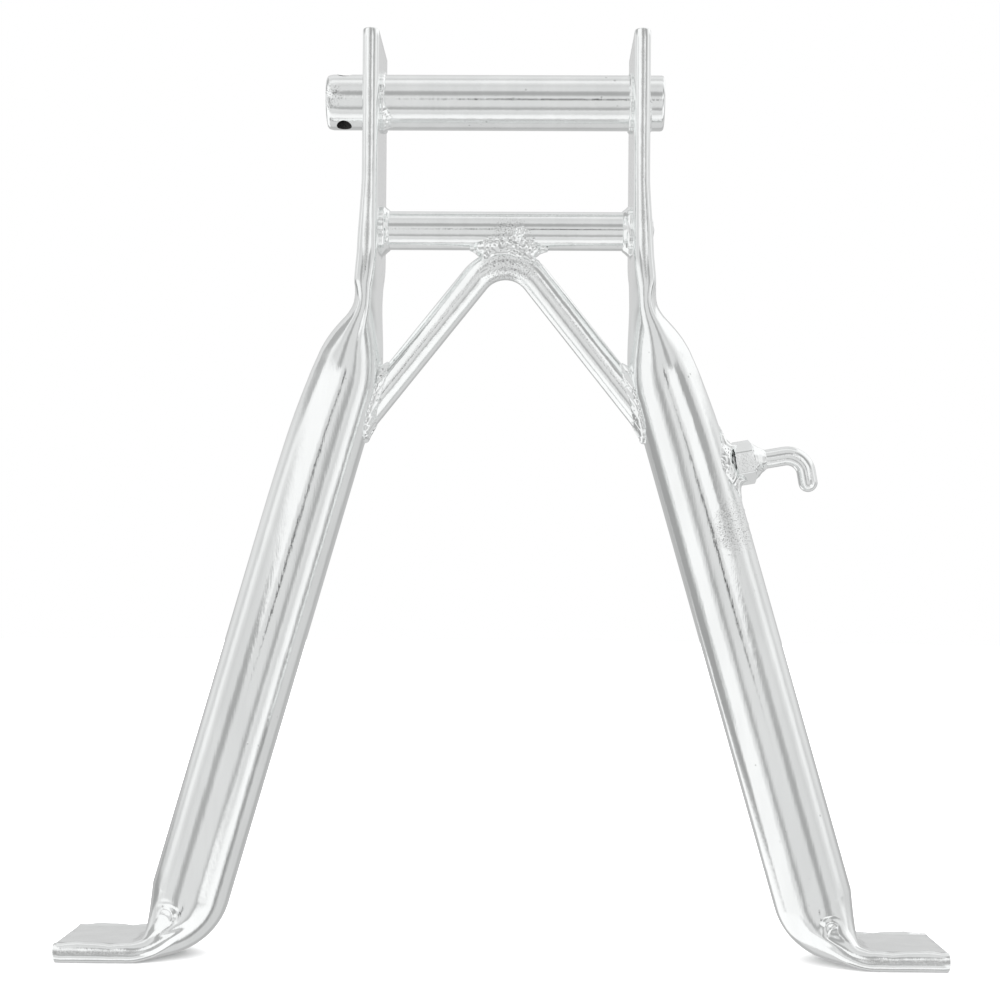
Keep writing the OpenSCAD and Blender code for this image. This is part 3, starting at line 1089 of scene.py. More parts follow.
@dataclass
class StraightTube:
    """A tube along X with eased or tapered ends."""

    name: str
    x0: float
    x1: float
    outer_d: float
    bore: float
    z: float = 0.0
    taper: float = 0.5
    taper_depth: float = 0.3
    end: float = 0.5
    end_depth: float = 0.3
    pin_x: float | None = None
    pin_y: float = 0.0
    pin_d: float = 5.0

    def build(self) -> bpy.types.Object:
        """Builds the tube.

        Returns:
            The tube's object.
        """
        r, bore_r, chamfer, gap = self.outer_d / 2, self.bore / 2, 0.3, 0.4
        steps = [(t, 1 - math.sqrt(1 - t * t)) for t in np.linspace(1, 0, 9)]
        first = [(self.x0 + self.taper * (1 - t), r - self.taper_depth * drop) for t, drop in steps]
        last = [(self.x1 - self.end * (1 - t), r - self.end_depth * drop) for t, drop in steps][::-1]
        along = [(x, r) for x in np.linspace(self.x0 + self.taper + gap, self.x1 - self.end - gap, 30)]
        profile = [(self.x0, bore_r + chamfer), *first, *along, *last, (self.x1, bore_r + chamfer),
                   (self.x1 - chamfer, bore_r), (self.x0 + chamfer, bore_r)]
        tube = lathe_x(self.name, profile, self.z)
        if self.pin_x is not None:
            path = np.array([[self.pin_x, self.pin_y, self.z + end * (r + 2)] for end in (-1, 1)])
            pin = capped_rod("cutter", sweep(path, [self.pin_d / 2] * 2, 48))
            cut_away(tube, [pin])
        shade(tube)
        return tube

    def bore_faces(self, tube: bpy.types.Object) -> list[int]:
        """Faces of the built tube that lie inside its bore or its pin hole.

        Args:
            tube: the built tube.

        Returns:
            Indices of the faces.
        """
        inside = []
        for face in tube.data.polygons:
            x, y, z = face.center / MM
            in_bore = math.hypot(y, z - self.z) < self.bore / 2 + 0.1 and abs(face.normal.x) < 0.9
            in_pin = (self.pin_x is not None and abs(face.normal.z) < 0.2
                      and math.hypot(x - self.pin_x, y - self.pin_y) < self.pin_d / 2 + 0.05)
            if in_bore or in_pin:
                inside.append(face.index)
        return inside


@dataclass
class BentBrace:
    """One round rod bent into an inverted V, its ends fitted to the legs."""

    rod_d: float = 10.0
    angle: float = 51.4
    bend_r: float = 13.0
    bend_z: float = -67.15
    arm: float = 64.0
    bury: float = 0.8

    def arm_direction(self, side: Side) -> Points:
        """Direction down an arm."""
        down = math.radians(self.angle)
        return np.array([side.value * math.cos(down), 0.0, -math.sin(down)])

    def arm_start(self, side: Side) -> Points:
        """Place where the bend ends and an arm begins.

        Args:
            side: side of the arm.

        Returns:
            The place.
        """
        down = math.radians(self.angle)
        x, z = self.bend_r * math.sin(down), self.bend_z + self.bend_r * math.cos(down)
        return np.array([side.value * x, 0.0, z])

    def end_ring(self, ring: Points, side: Side, leg: BVHTree) -> Points:
        """Moves a ring along an arm until each of its points lies just under the leg's skin.

        Args:
            ring: points of the ring.
            side: side of the arm.
            leg: search tree of the leg.

        Returns:
            The moved points.
        """
        along = self.arm_direction(side)
        fitted = []
        for point in ring:
            hit, _, _, distance = leg.ray_cast(Vector(point * MM), Vector(along))
            run = distance / MM + self.bury if hit else self.arm * 0.7
            fitted.append(point + along * run)
        return np.array(fitted)

    def build(self, legs: dict[Side, BVHTree]) -> bpy.types.Object:
        """Builds the rod between the legs.

        Args:
            legs: search tree of each leg.

        Returns:
            The brace's object.
        """
        down = math.radians(self.angle)
        turn = np.linspace(math.pi / 2 + down, math.pi / 2 - down, 41)
        bend = np.stack([self.bend_r * np.cos(turn), np.zeros_like(turn),
                         self.bend_z + self.bend_r * np.sin(turn)], 1)
        rings = sweep(bend, np.full(len(bend), self.rod_d / 2), 56)
        rings[0] = self.square_ring(rings[0], Side.LEFT)
        rings[-1] = self.square_ring(rings[-1], Side.RIGHT)
        left = self.end_ring(rings[0], Side.LEFT, legs[Side.LEFT])
        right = self.end_ring(rings[-1], Side.RIGHT, legs[Side.RIGHT])
        steps = np.linspace(0, 1, 25)[1:]
        left_arm = [rings[0] + (left - rings[0]) * f for f in steps][::-1]
        right_arm = [rings[-1] + (right - rings[-1]) * f for f in steps]
        brace = capped_rod("v_brace_plated", np.array([*left_arm, *rings, *right_arm]))
        shade(brace)
        return brace

    def square_ring(self, ring: Points, side: Side) -> Points:
        """Turns an end ring of the bend square to its arm.

        Args:
            ring: points of the ring.
            side: side of the arm.

        Returns:
            The turned points.
        """
        along, start = self.arm_direction(side), self.arm_start(side)
        flat = ring - np.outer((ring - start) @ along, along)
        out = flat - start
        return start + out / np.linalg.norm(out, axis=1)[:, None] * self.rod_d / 2


@dataclass
class HookNut:
    """Hexagon nut with chamfered corners under the spring hook."""

    base: Points
    direction: Points
    flats: float = NUT_FLATS
    height: float = NUT_HEIGHT
    bore: float = 6.6
    mouth: float = 0.4
    count: int = 120

    def build(self) -> bpy.types.Object:
        """Builds the nut.

        Returns:
            The nut's object.
        """
        apothem, bore_r = self.flats / 2, self.bore / 2
        turn = np.linspace(0, 2 * math.pi, self.count, endpoint=False)
        corner = apothem / np.cos(((turn + math.pi / 6) % (math.pi / 3)) - math.pi / 6)
        corner = np.minimum(corner, apothem / math.cos(math.pi / 6) - 0.15)
        face_r = apothem * 0.96
        slope = math.tan(math.radians(28))

        def level(radius: Points) -> Points:
            """Depth of the corner chamfer at a radius."""
            return np.maximum(0, radius - face_r) * slope

        radii = [bore_r + self.mouth + f * (corner - bore_r - self.mouth) for f in (0.0, 0.12, 0.5, 0.8, 1.0)]
        rows = [(radius, self.height - level(radius)) for radius in radii]
        rows += [(corner, level(corner) + g * (self.height - 2 * level(corner))) for g in (0.75, 0.5, 0.25)]
        rows += [(radius, level(radius)) for radius in radii[::-1]]
        rows += [(np.full_like(turn, bore_r), np.full_like(turn, h))
                 for h in (self.mouth, self.height - self.mouth)]
        side = np.cross(self.direction, BACK)
        loop = [self.base + h[:, None] * self.direction
                + (r * np.cos(turn))[:, None] * BACK + (r * np.sin(turn))[:, None] * side for r, h in rows]
        faces = loft_faces(len(loop), self.count, wrap=True)
        nut = make_piece("hook_nut_plated", np.concatenate(loop), faces)
        shade(nut, 24.0)
        return nut


@dataclass
class SpringHook:
    """Bent rod in the nut, its round end turned down."""

    leg: CrushedLeg
    rod_d: float = 6.3
    drop: float = 122.7
    lift: float = 10.0
    reach: float = 37.2
    bend_r: float = 6.5
    point: float = 3.5
    flats: float = NUT_FLATS

    @property
    def start(self) -> Points:
        """Place where the hook's line leaves the middle of the leg."""
        return np.array([self.leg.straight_x(-self.drop), 0.0, -self.drop])

    @property
    def direction(self) -> Points:
        """Direction of the rod out of the leg."""
        lift = math.radians(self.lift)
        return np.array([math.cos(lift), 0.0, math.sin(lift)])

    @property
    def across(self) -> Points:
        """Upward direction square to the rod."""
        lift = math.radians(self.lift)
        return np.array([-math.sin(lift), 0.0, math.cos(lift)])

    @property
    def seat(self) -> float:
        """Distance from the middle of the leg to the base of the nut."""
        tip = math.radians(self.leg.splay - self.lift)
        return self.leg.tube_d / 2 / math.cos(tip) + self.flats / math.sqrt(3) * math.tan(abs(tip))

    def at(self, out: float, up: float) -> Points:
        """A point given along and across the hook's line."""
        return self.start + out * self.direction + up * self.across

    def build(self) -> bpy.types.Object:
        """Builds the rod.

        Returns:
            The hook's object.
        """
        r, tip = self.rod_d / 2, np.radians([15, 30, 45, 60, 72, 82, 88])
        straight = [(x, 0.0) for x in np.linspace(self.seat + 0.3, self.reach - self.bend_r, 14)]
        bend = [(self.reach - self.bend_r + self.bend_r * math.sin(a),
                 -self.bend_r + self.bend_r * math.cos(a)) for a in np.linspace(0, math.pi / 2, 20)[1:]]
        down = [(self.reach, -self.bend_r - d) for d in np.linspace(0, self.point, 5)[1:]]
        round_end = [(self.reach, -self.bend_r - self.point - r * math.sin(a)) for a in tip]
        full = straight + bend + down
        line = np.array([self.at(*p) for p in full + round_end])
        radii = [r] * len(full) + [r * math.cos(a) for a in tip]
        hook = capped_rod("spring_hook_plated", sweep(line, radii, 40))
        shade(hook)
        return hook


# Welds


@dataclass
class WeldBead:
    """Lumpy bead that is grown from drops of metal along a seam."""

    name: str
    drops: list[tuple[Points, float]] = field(default_factory=list)
    spots: list[tuple[Points, float]] = field(default_factory=list)
    seed: int = 1
    voxel: float = 0.30
    jitter: float = 0.12
    ripple: float = 0.10
    melt: int = 6

    def drop(self, place: Points, radius: float) -> None:
        """Adds a drop of metal."""
        self.drops.append((np.asarray(place, float), radius))

    def run(self, seam: Sequence[Points], radius: float | tuple[float, float], pitch: float = 0.9) -> None:
        """Adds drops along a seam.

        Args:
            seam: points of the seam.
            radius: mean radius of a drop, or the radius at the seam's start and at its end.
            pitch: distance from drop to drop.
        """
        first, last = radius if isinstance(radius, tuple) else (radius, radius)
        draw = random.Random(self.seed)
        seam = np.asarray(seam)
        steps = np.linalg.norm(np.diff(seam, axis=0), axis=1)
        length = np.concatenate([[0], np.cumsum(steps)])
        swell = draw.uniform(0, 6)
        for s in np.arange(0, length[-1], pitch):
            place = np.array([np.interp(s, length, seam[:, k]) for k in range(3)])
            shake = np.array([draw.uniform(-1, 1) for _ in range(3)]) * self.jitter
            mean = first + (last - first) * s / length[-1]
            size = mean * (1 + self.ripple * math.sin(s * 2.4 + swell) + draw.uniform(-0.08, 0.08))
            self.drop(place + shake, size)

    def fillet(self, corner: Points, first: Points, second: Points, width: float, size: float) -> None:
        """Fills a corner with drops under a concave curve.

        Args:
            corner: the corner's place.
            first: way from the corner to one end of the curve.
            second: way from the corner to the other end.
            width: reach to each side, along Y.
            size: radius of the largest drops.
        """
        middle = first / np.linalg.norm(first) + second / np.linalg.norm(second)
        middle /= np.linalg.norm(middle)
        for aside in np.arange(-width, width + 0.1, 1.1):
            less = 1 - 0.35 * (aside / max(width, 1)) ** 2
            for t in np.linspace(0, 1, 11):
                radius = 0.5 + size * 4 * t * (1 - t)
                place = corner + less * (first * (1 - t) ** 2 + second * t ** 2) - middle * radius
                self.drop(place + np.array([0.0, aside, 0.0]), radius)

    def build(self) -> bpy.types.Object:
        """Builds the bead by growing the drops together.

        Returns:
            The bead's object.
        """
        bead = make_balls(self.name, self.drops)
        grow = bead.modifiers.new("grow", "REMESH")
        grow.mode = "VOXEL"
        grow.voxel_size = self.voxel * MM
        melt = bead.modifiers.new("melt", "SMOOTH")
        melt.factor = 0.5
        melt.iterations = self.melt
        bake_modifiers(bead)
        if self.spots:
            loose = make_balls("spots", self.spots)
            work = bmesh.new()
            work.from_mesh(bead.data)
            work.from_mesh(loose.data)
            work.to_mesh(bead.data)
            work.free()
            bpy.data.objects.remove(loose)
        shade(bead, 180.0)
        return bead


def circle_x(x: float, radius: float, z: float, first: float = 0.0, last: float = 360.0,
             count: int = 90) -> Points:
    """Points of an arc round a line along X, from angle first to last in degrees, 0 being +Y."""
    turn = np.radians(np.linspace(first, last, count))
    return np.stack([np.full_like(turn, x), radius * np.cos(turn), z + radius * np.sin(turn)], 1)


@dataclass
class Welds:
    """All weld beads of the stand."""

    leg: CrushedLeg
    pivot_d: float = PIVOT_D
    cross_d: float = CROSS_D
    cross_z: float = CROSS_Z

    @property
    def ear_in(self) -> float:
        """Inner face of the right ear."""
        return self.leg.ear_gap / 2

    @property
    def ear_out(self) -> float:
        """Outer face of the right ear."""
        return self.leg.ear_gap / 2 + self.leg.ear_t

    def pivot_ring(self, side: Side) -> WeldBead:
        """Fine bead round the pivot tube at the inner face of an ear, with a fillet under the left end.

        Args:
            side: the ear's side.

        Returns:
            The bead.
        """
        bead = WeldBead(f"weld_pivot_{side.name.lower()}_bead", seed=11 + side.value, voxel=0.26, melt=4)
        size = 1.05 if side is Side.LEFT else 0.8
        bead.run(circle_x(side.value * (self.ear_in - 0.35), self.pivot_d / 2 + 0.1, 0.0), size, 0.8)
        if side is Side.LEFT:
            for step, radius in enumerate((1.15, 0.95, 0.75, 0.5)):
                x = side.value * (self.ear_in - 0.7 - 0.9 * step)
                bead.run(circle_x(x, self.pivot_d / 2 - 0.2, 0.0, 200 + 9 * step, 262, 20), radius)
        return bead

    def pivot_tack(self) -> WeldBead:
        """Short bead under the pivot tube outside the right ear.

        Returns:
            The bead.
        """
        bead = WeldBead("weld_pivot_tack_bead", seed=21, voxel=0.26, melt=4)
        bead.run(circle_x(self.ear_out + 0.1, self.pivot_d / 2 + 0.1, 0.0, 190, 262, 24), (1.0, 1.35))
        return bead

    def cross_ring(self, side: Side) -> WeldBead:
        """Trumpet-shaped bead round the cross tube at the inner face of an ear.

        Args:
            side: the ear's side.

        Returns:
            The bead.
        """
        bead = WeldBead(f"weld_cross_{side.name.lower()}_bead", seed=31 + side.value, jitter=0.03,
                        ripple=0.03, melt=9)
        for back, lift, radius in ((0.3, 0.7, 1.35), (1.2, 0.15, 1.1), (2.1, -0.15, 0.85)):
            x = side.value * (self.ear_in - back)
            bead.run(circle_x(x, self.cross_d / 2 + lift, self.cross_z), radius, 0.6)
        corner = np.array([side.value * self.ear_in, 0.0, self.cross_z - self.cross_d / 2])
        bead.fillet(corner, np.array([0.0, 0.0, -4.2]), np.array([-side.value * 3.2, 0.0, 0.0]), 2.2, 0.8)
        return bead

    def cross_plug(self) -> WeldBead:
        """Domed plug weld over the right end of the cross tube.

        Returns:
            The bead.
        """
        bead = WeldBead("weld_cross_plug_bead", seed=41, voxel=0.34, jitter=0.08, melt=8)
        for radius, size in ((0.4, 2.5), (1.6, 2.4), (2.8, 2.15), (4.1, 1.6)):
            bead.run(circle_x(self.ear_out - 0.1, radius, self.cross_z, 0, 360, 40), size, 1.0)
        return bead

    def apex(self, brace: BentBrace, front: bool) -> WeldBead:
        """Broad bead between the cross tube and the bend of the brace, in front or behind.

        Args:
            brace: the brace.
            front: whether the bead lies on the viewer's side.

        Returns:
            The bead.
        """
        toward = -1 if front else 1
        bead = WeldBead(f"weld_apex_{'front' if front else 'back'}_bead", seed=51 + toward, jitter=0.26,
                        ripple=0.12, melt=17)
        draw = random.Random(57 + toward)
        lanes = ((-46.3, 4.5, 1.15, 8.0), (-48.5, 3.5, 1.9, 9.4), (-50.7, 3.5, 1.45, 7.8))
        for lane, (height, depth, radius, reach) in enumerate(lanes):
            line = [np.array([x, toward * (depth + 0.4 * math.cos(0.5 * x)),
                              height - 0.009 * x * x + 0.5 * math.sin(0.55 * x + lane)])
                    for x in np.linspace(-reach + 1, reach + 1, 26)]
            bead.run(line, radius, 0.85)
        for end in (-1, 1):
            wing = [np.array([1 + end * x, toward * (3.2 - 0.1 * (x - 8)), -48.9])
                    for x in np.linspace(8, 13.2, 9)]
            bead.run(wing, (1.4, 0.5), 0.7)
            shoulder = [np.array([1 + end * x, toward * 3.0, -51.6 - 0.66 * (x - 6)])
                        for x in np.linspace(6, 11.2, 8)]
            bead.run(shoulder, (1.5, 0.5), 0.8)
            core = [np.array([end * x, toward * 1.0, -49.5 - 0.2 * (x - 5)]) for x in np.linspace(5, 9.4, 7)]
            bead.run(core, (0.9, 1.05), 0.7)
        for _ in range(7):
            x, z = 5.6 + draw.uniform(-1.8, 1.8), -43.4 + draw.uniform(-2.0, 0.8)
            bead.drop(np.array([x, toward * 5.4, z]), draw.uniform(1.0, 1.4))
        skin = brace.rod_d / 2 - 0.1
        for _ in range(30):
            turn, round_rod = math.radians(draw.uniform(52, 130)), math.radians(draw.uniform(20, 110))
            r = brace.bend_r + skin * math.cos(round_rod)
            place = np.array([r * math.cos(turn), toward * skin * math.sin(round_rod),
                              brace.bend_z + r * math.sin(turn)])
            bead.spots.append((place, draw.uniform(0.18, 0.36)))
        return bead

    def brace_end(self, side: Side, brace: BentBrace, leg: BVHTree) -> WeldBead:
        """Bead where an arm of the brace meets the side of the leg.

        Args:
            side: the leg's side.
            brace: the brace.
            leg: search tree of the leg.

        Returns:
            The bead.
        """
        bead = WeldBead(f"weld_brace_{side.name.lower()}_bead", seed=61 + side.value, jitter=0.15,
                        ripple=0.12, melt=7)
        along = brace.arm_direction(side)
        up = np.cross(along, BACK) * side.value

        def on_leg(rise: float, sideways: float) -> Points | None:
            """Point of the leg that a line along the arm meets.

            Args:
                rise: the line's distance above the middle of the arm.
                sideways: its distance along Y.

            Returns:
                The point, or None where the line misses the leg.
            """
            start = brace.arm_start(side) + rise * up + sideways * BACK
            hit = leg.ray_cast(Vector(start * MM), Vector(along))[0]
            return None if hit is None else np.array(hit) / MM

        turns = np.linspace(0, 2 * math.pi, 80)
        radius = brace.rod_d / 2 + 0.2
        seam = [on_leg(radius * math.cos(t), radius * math.sin(t)) for t in turns]
        seam = [point for point in seam if point is not None]
        bead.run([point - 0.2 * along for point in seam], 1.15, 0.8)
        top = max(seam, key=lambda point: point[2])
        low = min(seam, key=lambda point: point[2])
        slant = math.radians(self.leg.splay)
        lean = np.array([side.value * math.sin(slant), 0.0, -math.cos(slant)])
        draw = random.Random(67 + side.value)
        bead.fillet(top - along * 0.2, -lean * 1.2, -along * 3.2, 3.0, 0.8)
        bead.fillet(low + along * 0.2, lean * 1.3, -along * 1.4, 1.8, 0.5)
        for y_side in (-1, 1):
            face = sorted((point for point in seam if point[1] * y_side > 2.4), key=lambda point: point[2])
            for step in range(7):
                shifted = [point - along * 0.8 * step - BACK * (y_side * 0.10 * step) for point in face]
                bead.run(shifted, 1.25 - 0.10 * step, 0.8)
            for _ in range(26):
                place = draw.choice(face) - along * draw.uniform(0, 6.5)
                place = place + BACK * (y_side * draw.uniform(0.5, 0.9))
                bead.spots.append((place, draw.uniform(0.2, 0.4)))
        return bead

    def nut_foot(self, hook: SpringHook, leg: BVHTree) -> WeldBead:
        """Bead round the foot of the nut on the leg, with spatter on the tube below it.

        Args:
            hook: the hook.
            leg: search tree of the right leg.

        Returns:
            The bead.
        """
        bead = WeldBead("weld_nut_bead", seed=71, jitter=0.1, ripple=0.08, melt=8)
        away = hook.seat + 8

        def under(start: Points) -> Points | None:
            """Point of the leg straight under a place, or None where there is no leg."""
            hit = leg.ray_cast(Vector(start * MM), Vector(-hook.direction))[0]
            return None if hit is None else np.array(hit) / MM

        def ring(radius: float, lift: float) -> list[Points]:
            """Points of the leg round the hook's line.

            Args:
                radius: distance from the line.
                lift: height above the leg.

            Returns:
                The points, without those that miss the leg.
            """
            found = []
            for turn in np.linspace(0, 2 * math.pi, 80):
                aside = radius * (math.cos(turn) * hook.across + math.sin(turn) * BACK)
                foot = under(hook.at(away, 0.0) + aside)
                if foot is not None:
                    found.append(foot + hook.direction * lift)
            return found

        for radius, lift, size in ((8.5, -0.7, 1.0), (7.7, -0.5, 1.5), (6.9, 0.2, 1.6), (6.1, 0.7, 1.3)):
            bead.run(ring(radius, lift), size)
        slant = math.radians(self.leg.splay)
        lean = np.array([math.sin(slant), 0.0, -math.cos(slant)])
        for end in (-1, 1):
            corner = under(hook.at(away, -end * (hook.flats / 2 - 0.2)))
            bead.fillet(corner, end * lean * 7.5, hook.direction * 4.2, 4.4, 1.3)
        draw = random.Random(73)
        for _ in range(9):
            turn = math.radians(draw.uniform(-150, -30))
            aside = draw.uniform(7.2, 8.6) * (math.sin(turn) * BACK + math.cos(turn) * hook.across)
            foot = under(hook.at(away, 0.0) + aside)
            if foot is not None:
                bead.drop(foot, draw.uniform(0.8, 1.4))
        skin = self.leg.tube_d / 2 - 0.05
        for _ in range(30):
            down, turn = draw.uniform(6, 46), math.radians(draw.uniform(12, 58))
            radial = np.array([-lean[2], 0.0, lean[0]]) * math.cos(turn) - BACK * math.sin(turn)
            bead.spots.append((hook.start + lean * down + radial * skin, draw.uniform(0.2, 0.5)))
        return bead

    def hook_collar(self, hook: SpringHook) -> WeldBead:
        """Bead between the outer face of the nut and the rod.

        Args:
            hook: the hook.

        Returns:
            The bead.
        """
        bead = WeldBead("weld_hook_bead", seed=81, jitter=0.1, ripple=0.06, melt=16)
        lanes = ((-0.4, 5.2, 1.1), (0.3, 4.1, 1.6), (1.4, 3.5, 1.35), (2.6, 3.1, 1.0), (3.8, 2.85, 0.7))
        for out, radius, size in lanes:
            middle = hook.at(hook.seat + NUT_HEIGHT + out, 0.0)
            ring = [middle + radius * (math.cos(t) * hook.across + math.sin(t) * BACK)
                    for t in np.linspace(0, 2 * math.pi, 60)]
            bead.run(ring, size)
        return bead


# Studio


@dataclass(frozen=True)
class Card:
    """A pale or grey card, between two angles from the view line and two turns round it."""

    out: tuple[float, float]
    turn: tuple[float, float]
    level: float
    edge: float = 5.0


@dataclass
class Studio:
    """Pale floor, soft light and the camera at the photograph's angle."""

    floor_z: float = -STAND_H
    camera_place: tuple[float, float, float] = (8.7, -590.1, -164.2)
    focal_px: float = 1768.7
    image_px: float = 1000.0
    centre_px: float = 587.9
    yaw: float = 0.95
    pitch: float = 0.22
    roll: float = 0.45
    spot: tuple[tuple[float, float], tuple[float, float]] = ((-0.014, 0.046), (-0.062, 0.062))
    spot_level: float = 0.03
    contrast: float = 1.22
    strength: float = 1.09
    background: float = 1.0
    centre_drop: float = 6.0
    upper: tuple[tuple[float, float], ...] = (
        (0, 0.73), (14, 0.74), (20, 0.66), (25, 0.47), (32, 0.45), (38, 0.50), (44, 0.72), (56, 0.72),
        (68, 0.68), (78, 0.76), (86, 0.88), (94, 0.86), (102, 0.66), (120, 0.78), (140, 0.72), (160, 0.66),
        (180, 0.66))
    lower: tuple[tuple[float, float], ...] = (
        (0, 0.73), (20, 0.73), (26, 0.62), (31, 0.46), (36, 0.51), (41, 0.77), (48, 0.72), (55, 0.71),
        (61, 0.88), (74, 0.95), (80, 0.60), (86, 0.37), (91, 0.42), (97, 0.67), (125, 0.66), (136, 0.50),
        (150, 0.55), (180, 0.58))
    cards: tuple[Card, ...] = (
        Card((18, 80), (-66, -28), 0.93), Card((92, 124), (-66, -28), 0.48),
        Card((18, 40), (30, 66), 0.93), Card((48, 66), (30, 66), 0.45), Card((92, 150), (30, 66), 0.97),
        Card((60, 135), (-150, -118), 0.96), Card((34, 78), (118, 150), 0.96),
        Card((50, 92), (-116, -92), 0.92), Card((100, 126), (-116, -92), 0.42))

    def build_camera(self) -> None:
        """Places the camera level with the lower half of the legs."""
        data = bpy.data.cameras.new("photo_camera")
        data.sensor_width = 36.0
        data.lens = 36.0 * self.focal_px / self.image_px
        data.shift_y = (self.centre_px - self.image_px / 2) / self.image_px
        data.clip_start = 0.01
        camera = bpy.data.objects.new("photo_camera", data)
        bpy.context.scene.collection.objects.link(camera)
        camera.location = Vector(self.camera_place) * MM
        turn = Matrix.Rotation(math.radians(self.yaw), 4, "Z")
        level = Matrix.Rotation(math.radians(90 + self.pitch), 4, "X")
        camera.rotation_euler = (turn @ level @ Matrix.Rotation(math.radians(self.roll), 4, "Z")).to_euler()
        bpy.context.scene.camera = camera

    def build_floor(self) -> None:
        """Builds the floor disc."""
        count, radii = 96, (0.0, 400.0, 1200.0, 4000.0)
        turn = np.linspace(0, 2 * math.pi, count, endpoint=False)
        points = [(0.0, 0.0, self.floor_z)]
        faces: list[tuple[int, ...]] = [(0, 1 + i, 1 + (i + 1) % count) for i in range(count)]
        for radius in radii[1:]:
            points += [(radius * math.cos(t), radius * math.sin(t), self.floor_z) for t in turn]
        faces += loft_faces(len(radii) - 1, count, 1)
        floor = make_piece("studio_floor", np.array(points), faces)
        floor.data.materials.append(PaleFloor().build())
        floor.visible_glossy = False

    def build_lights(self) -> None:
        """Hangs one wide soft light over the floor that doesn't show in the plating."""
        data = bpy.data.lights.new("overhead", "SUN")
        data.angle = math.radians(150)
        data.energy = 5.0
        light = bpy.data.objects.new("overhead", data)
        bpy.context.scene.collection.objects.link(light)
        light.rotation_euler = (math.radians(8), math.radians(-10), 0.0)
        light.visible_glossy = False

    def build_world(self) -> None:
        """Builds the surround: plain behind the object, pale panels and thin gaps in reflections."""
        world = bpy.data.worlds.new("studio")
        bpy.context.scene.world = world
        world.use_nodes = True
        world.node_tree.nodes.clear()
        kit = NodeKit(world.node_tree)
        given = kit.add("ShaderNodeTexCoord").outputs["Generated"]
        way = kit.add("ShaderNodeMapping", vector_type="POINT")
        kit.feed(way.inputs["Vector"], given)
        way.inputs["Rotation"].default_value = (math.radians(-self.centre_drop), 0.0, 0.0)
        split = kit.add("ShaderNodeSeparateXYZ")
        kit.feed(split.inputs["Vector"], way.outputs["Vector"])
        x, y, z = split.outputs
        out = kit.math("MULTIPLY", kit.math("ARCCOSINE", kit.math("MULTIPLY", y, -1.0)), 180 / math.pi)
        turn = kit.math("MULTIPLY", kit.math("ARCTAN2", x, z), 180 / math.pi)
        share = kit.math("DIVIDE", out, 180.0)
        upper = kit.ramp(share, [(a / 180, v) for a, v in self.upper])
        lower = kit.ramp(share, [(a / 180, v) for a, v in self.lower])
        level = kit.blend(kit.remap(kit.math("ABSOLUTE", turn), 82.0, 98.0), upper, lower)
        for card in self.cards:
            inside = kit.math("MULTIPLY", kit.between(out, card.out, card.edge),
                              kit.between(turn, card.turn, card.edge))
            level = kit.blend(inside, level, grey(card.level))
        plain_way = kit.add("ShaderNodeSeparateXYZ")
        kit.feed(plain_way.inputs["Vector"], given)
        sideways, depth, height = plain_way.outputs
        spot = kit.math("MULTIPLY", kit.between(sideways, self.spot[0], 0.008),
                        kit.between(height, self.spot[1], 0.012))
        spot = kit.math("MULTIPLY", spot, kit.math("LESS_THAN", depth, 0.0))
        level = kit.blend(spot, level, grey(self.spot_level))
        surround = kit.add("ShaderNodeBackground")
        deepen = kit.add("ShaderNodeGamma")
        kit.feed(deepen.inputs["Color"], level)
        deepen.inputs["Gamma"].default_value = self.contrast
        kit.feed(surround.inputs["Color"], deepen.outputs["Color"])
        surround.inputs["Strength"].default_value = self.strength
        plain = kit.add("ShaderNodeBackground")
        plain.inputs["Color"].default_value = grey(self.background)
        seen = kit.add("ShaderNodeLightPath").outputs["Is Camera Ray"]
        choose = kit.add("ShaderNodeMixShader")
        kit.feed(choose.inputs[0], seen)
        kit.feed(choose.inputs[1], surround.outputs[0])
        kit.feed(choose.inputs[2], plain.outputs[0])
        kit.feed(kit.add("ShaderNodeOutputWorld").inputs["Surface"], choose.outputs[0])

    def build(self) -> None:
        """Builds the whole studio."""
        bpy.context.scene.view_settings.view_transform = "Standard"
        self.build_camera()
        self.build_floor()
        self.build_lights()
        self.build_world()


def settle(piece: bpy.types.Object, material: bpy.types.Material, slot: Slot, *nodes: str) -> None:
    """Gives a piece its finish, its body and the CAD nodes that it stands for.

    Args:
        piece: the piece.
        material: its material.
        slot: not used.
        nodes: CAD nodes that the piece replaces.
    """
    piece.data.materials.clear()
    piece.data.materials.append(material)
    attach(piece, "root")
    if nodes:
        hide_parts(*nodes)
    LOG.info("%s: %d faces", piece.name, len(piece.data.polygons))


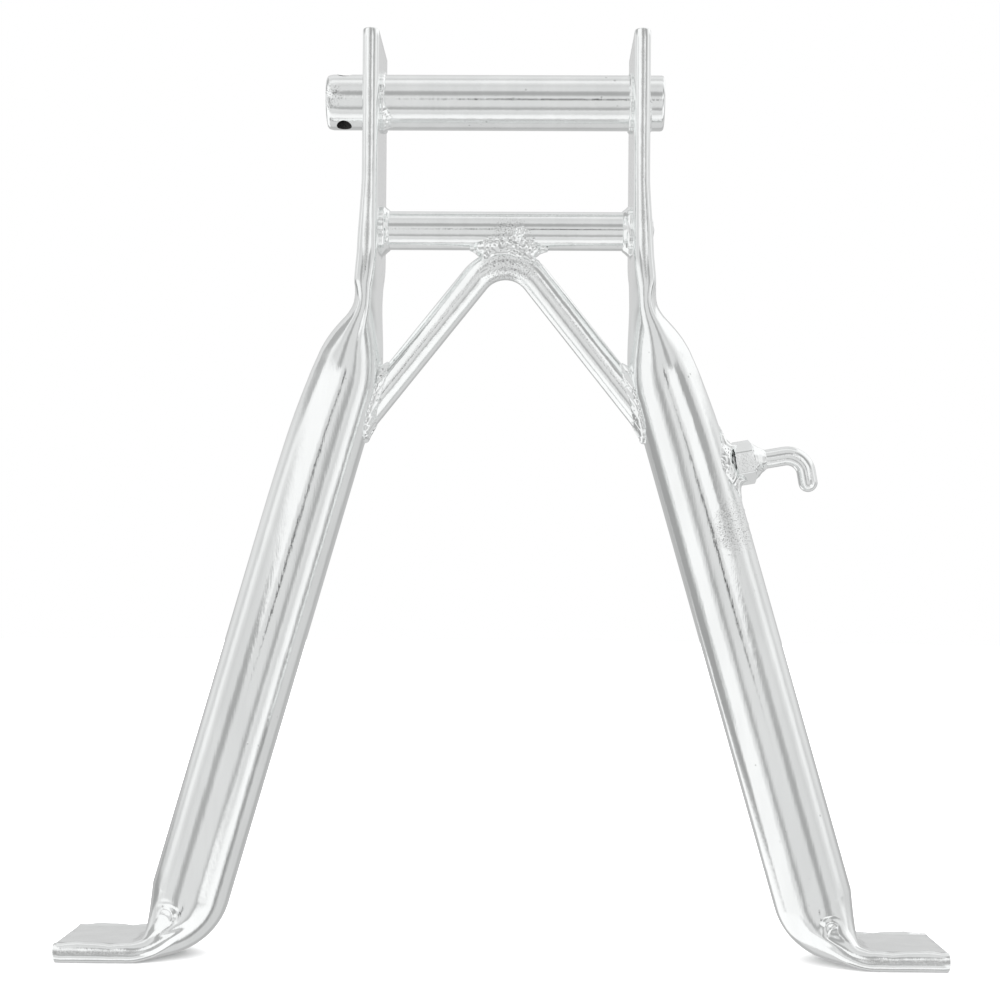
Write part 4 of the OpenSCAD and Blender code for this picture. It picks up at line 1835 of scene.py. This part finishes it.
def build_stand() -> None:
    """Builds every piece of the stand in order."""
    leg_finish = {
        Side.LEFT: BrightPlating("plating_left_leg", along=-SPLAY, stretch=6.0, fold=0.8).build(),
        Side.RIGHT: BrightPlating("plating_right_leg", along=SPLAY, stretch=6.0, fold=0.8,
                                  spatter_at=(77.0, -9.0, -141.0), spatter_reach=11.0).build(),
    }
    pivot_finish = BrightPlating("plating_pivot", along=90.0, stretch=5.0,
                                 spatter_at=(-58.6, -8.0, 0.0), spatter_reach=5.5).build()
    cross_finish = BrightPlating("plating_cross", along=90.0, stretch=5.0,
                                 spatter_at=(2.0, -3.0, -47.5), spatter_reach=10.0).build()
    rod_finish = BrightPlating("plating_rods", bump=0.2, marks=0.14).build()
    brace_finish = BrightPlating("plating_brace", bump=0.18, marks=0.14,
                                 spatter_at=(1.0, -4.0, -56.5), spatter_reach=11.0).build()
    weld_finish = PlatedWeld().build()

    legs = {Side.LEFT: CrushedLeg(Side.LEFT), Side.RIGHT: CrushedLeg(Side.RIGHT, pucker=(107.8, -272.2))}
    trees = {}
    for side, leg in legs.items():
        piece = leg.build()
        trees[side] = tree_of(piece)
        settle(piece, leg_finish[side], Slot.PLATING, f"{side.name.lower()}_leg")

    pivot = StraightTube("pivot_tube_plated", x0=-59.8, x1=52.2, outer_d=PIVOT_D, bore=12.0, taper=2.6,
                         taper_depth=0.9, end=1.1, end_depth=0.7, pin_x=-54.1, pin_y=-2.7)
    pivot_tube = pivot.build()
    settle(pivot_tube, pivot_finish, Slot.PLATING, "pivot_tube")
    # The faces inside the bore and the pin hole take the painted shade material.
    pivot_tube.data.materials.append(BorePaintedShade().build())
    for index in pivot.bore_faces(pivot_tube):
        pivot_tube.data.polygons[index].material_index = 1
    cross = StraightTube("cross_tube_plated", x0=-46.8, x1=46.8, outer_d=CROSS_D, bore=8.7, z=CROSS_Z)
    settle(cross.build(), cross_finish, Slot.PLATING, "cross_tube")

    brace = BentBrace()
    settle(brace.build(trees), brace_finish, Slot.PLATING, "v_brace")

    hook = SpringHook(legs[Side.RIGHT])
    settle(hook.build(), rod_finish, Slot.PLATING, "spring_hook")
    nut = HookNut(hook.at(hook.seat, 0.0), hook.direction)
    settle(nut.build(), rod_finish, Slot.PLATING, "hook_nut")

    welds = Welds(legs[Side.RIGHT])
    beads = [
        (welds.pivot_ring(Side.LEFT), "weld_pivot_left"), (welds.pivot_ring(Side.RIGHT), "weld_pivot_right"),
        (welds.pivot_tack(), "weld_pivot_tack"), (welds.cross_ring(Side.LEFT), "weld_cross_left"),
        (welds.cross_ring(Side.RIGHT), "weld_cross_right"), (welds.cross_plug(), "weld_cross_plug"),
        (welds.apex(brace, True), "weld_apex_front"), (welds.apex(brace, False), "weld_apex_back"),
        (welds.brace_end(Side.LEFT, brace, trees[Side.LEFT]), "weld_brace_left"),
        (welds.brace_end(Side.RIGHT, brace, trees[Side.RIGHT]), "weld_brace_right"),
        (welds.nut_foot(hook, trees[Side.RIGHT]), "weld_nut"), (welds.hook_collar(hook), "weld_hook"),
    ]
    for bead, node in beads:
        settle(bead.build(), weld_finish, Slot.WELD, node)


def main() -> None:
    """Builds the stand and its studio."""
    logging.basicConfig(level=logging.INFO, format="%(name)s: %(message)s")
    Studio().build()
    build_stand()
    bpy.context.view_layer.update()


if __name__ == "__main__":
    main()
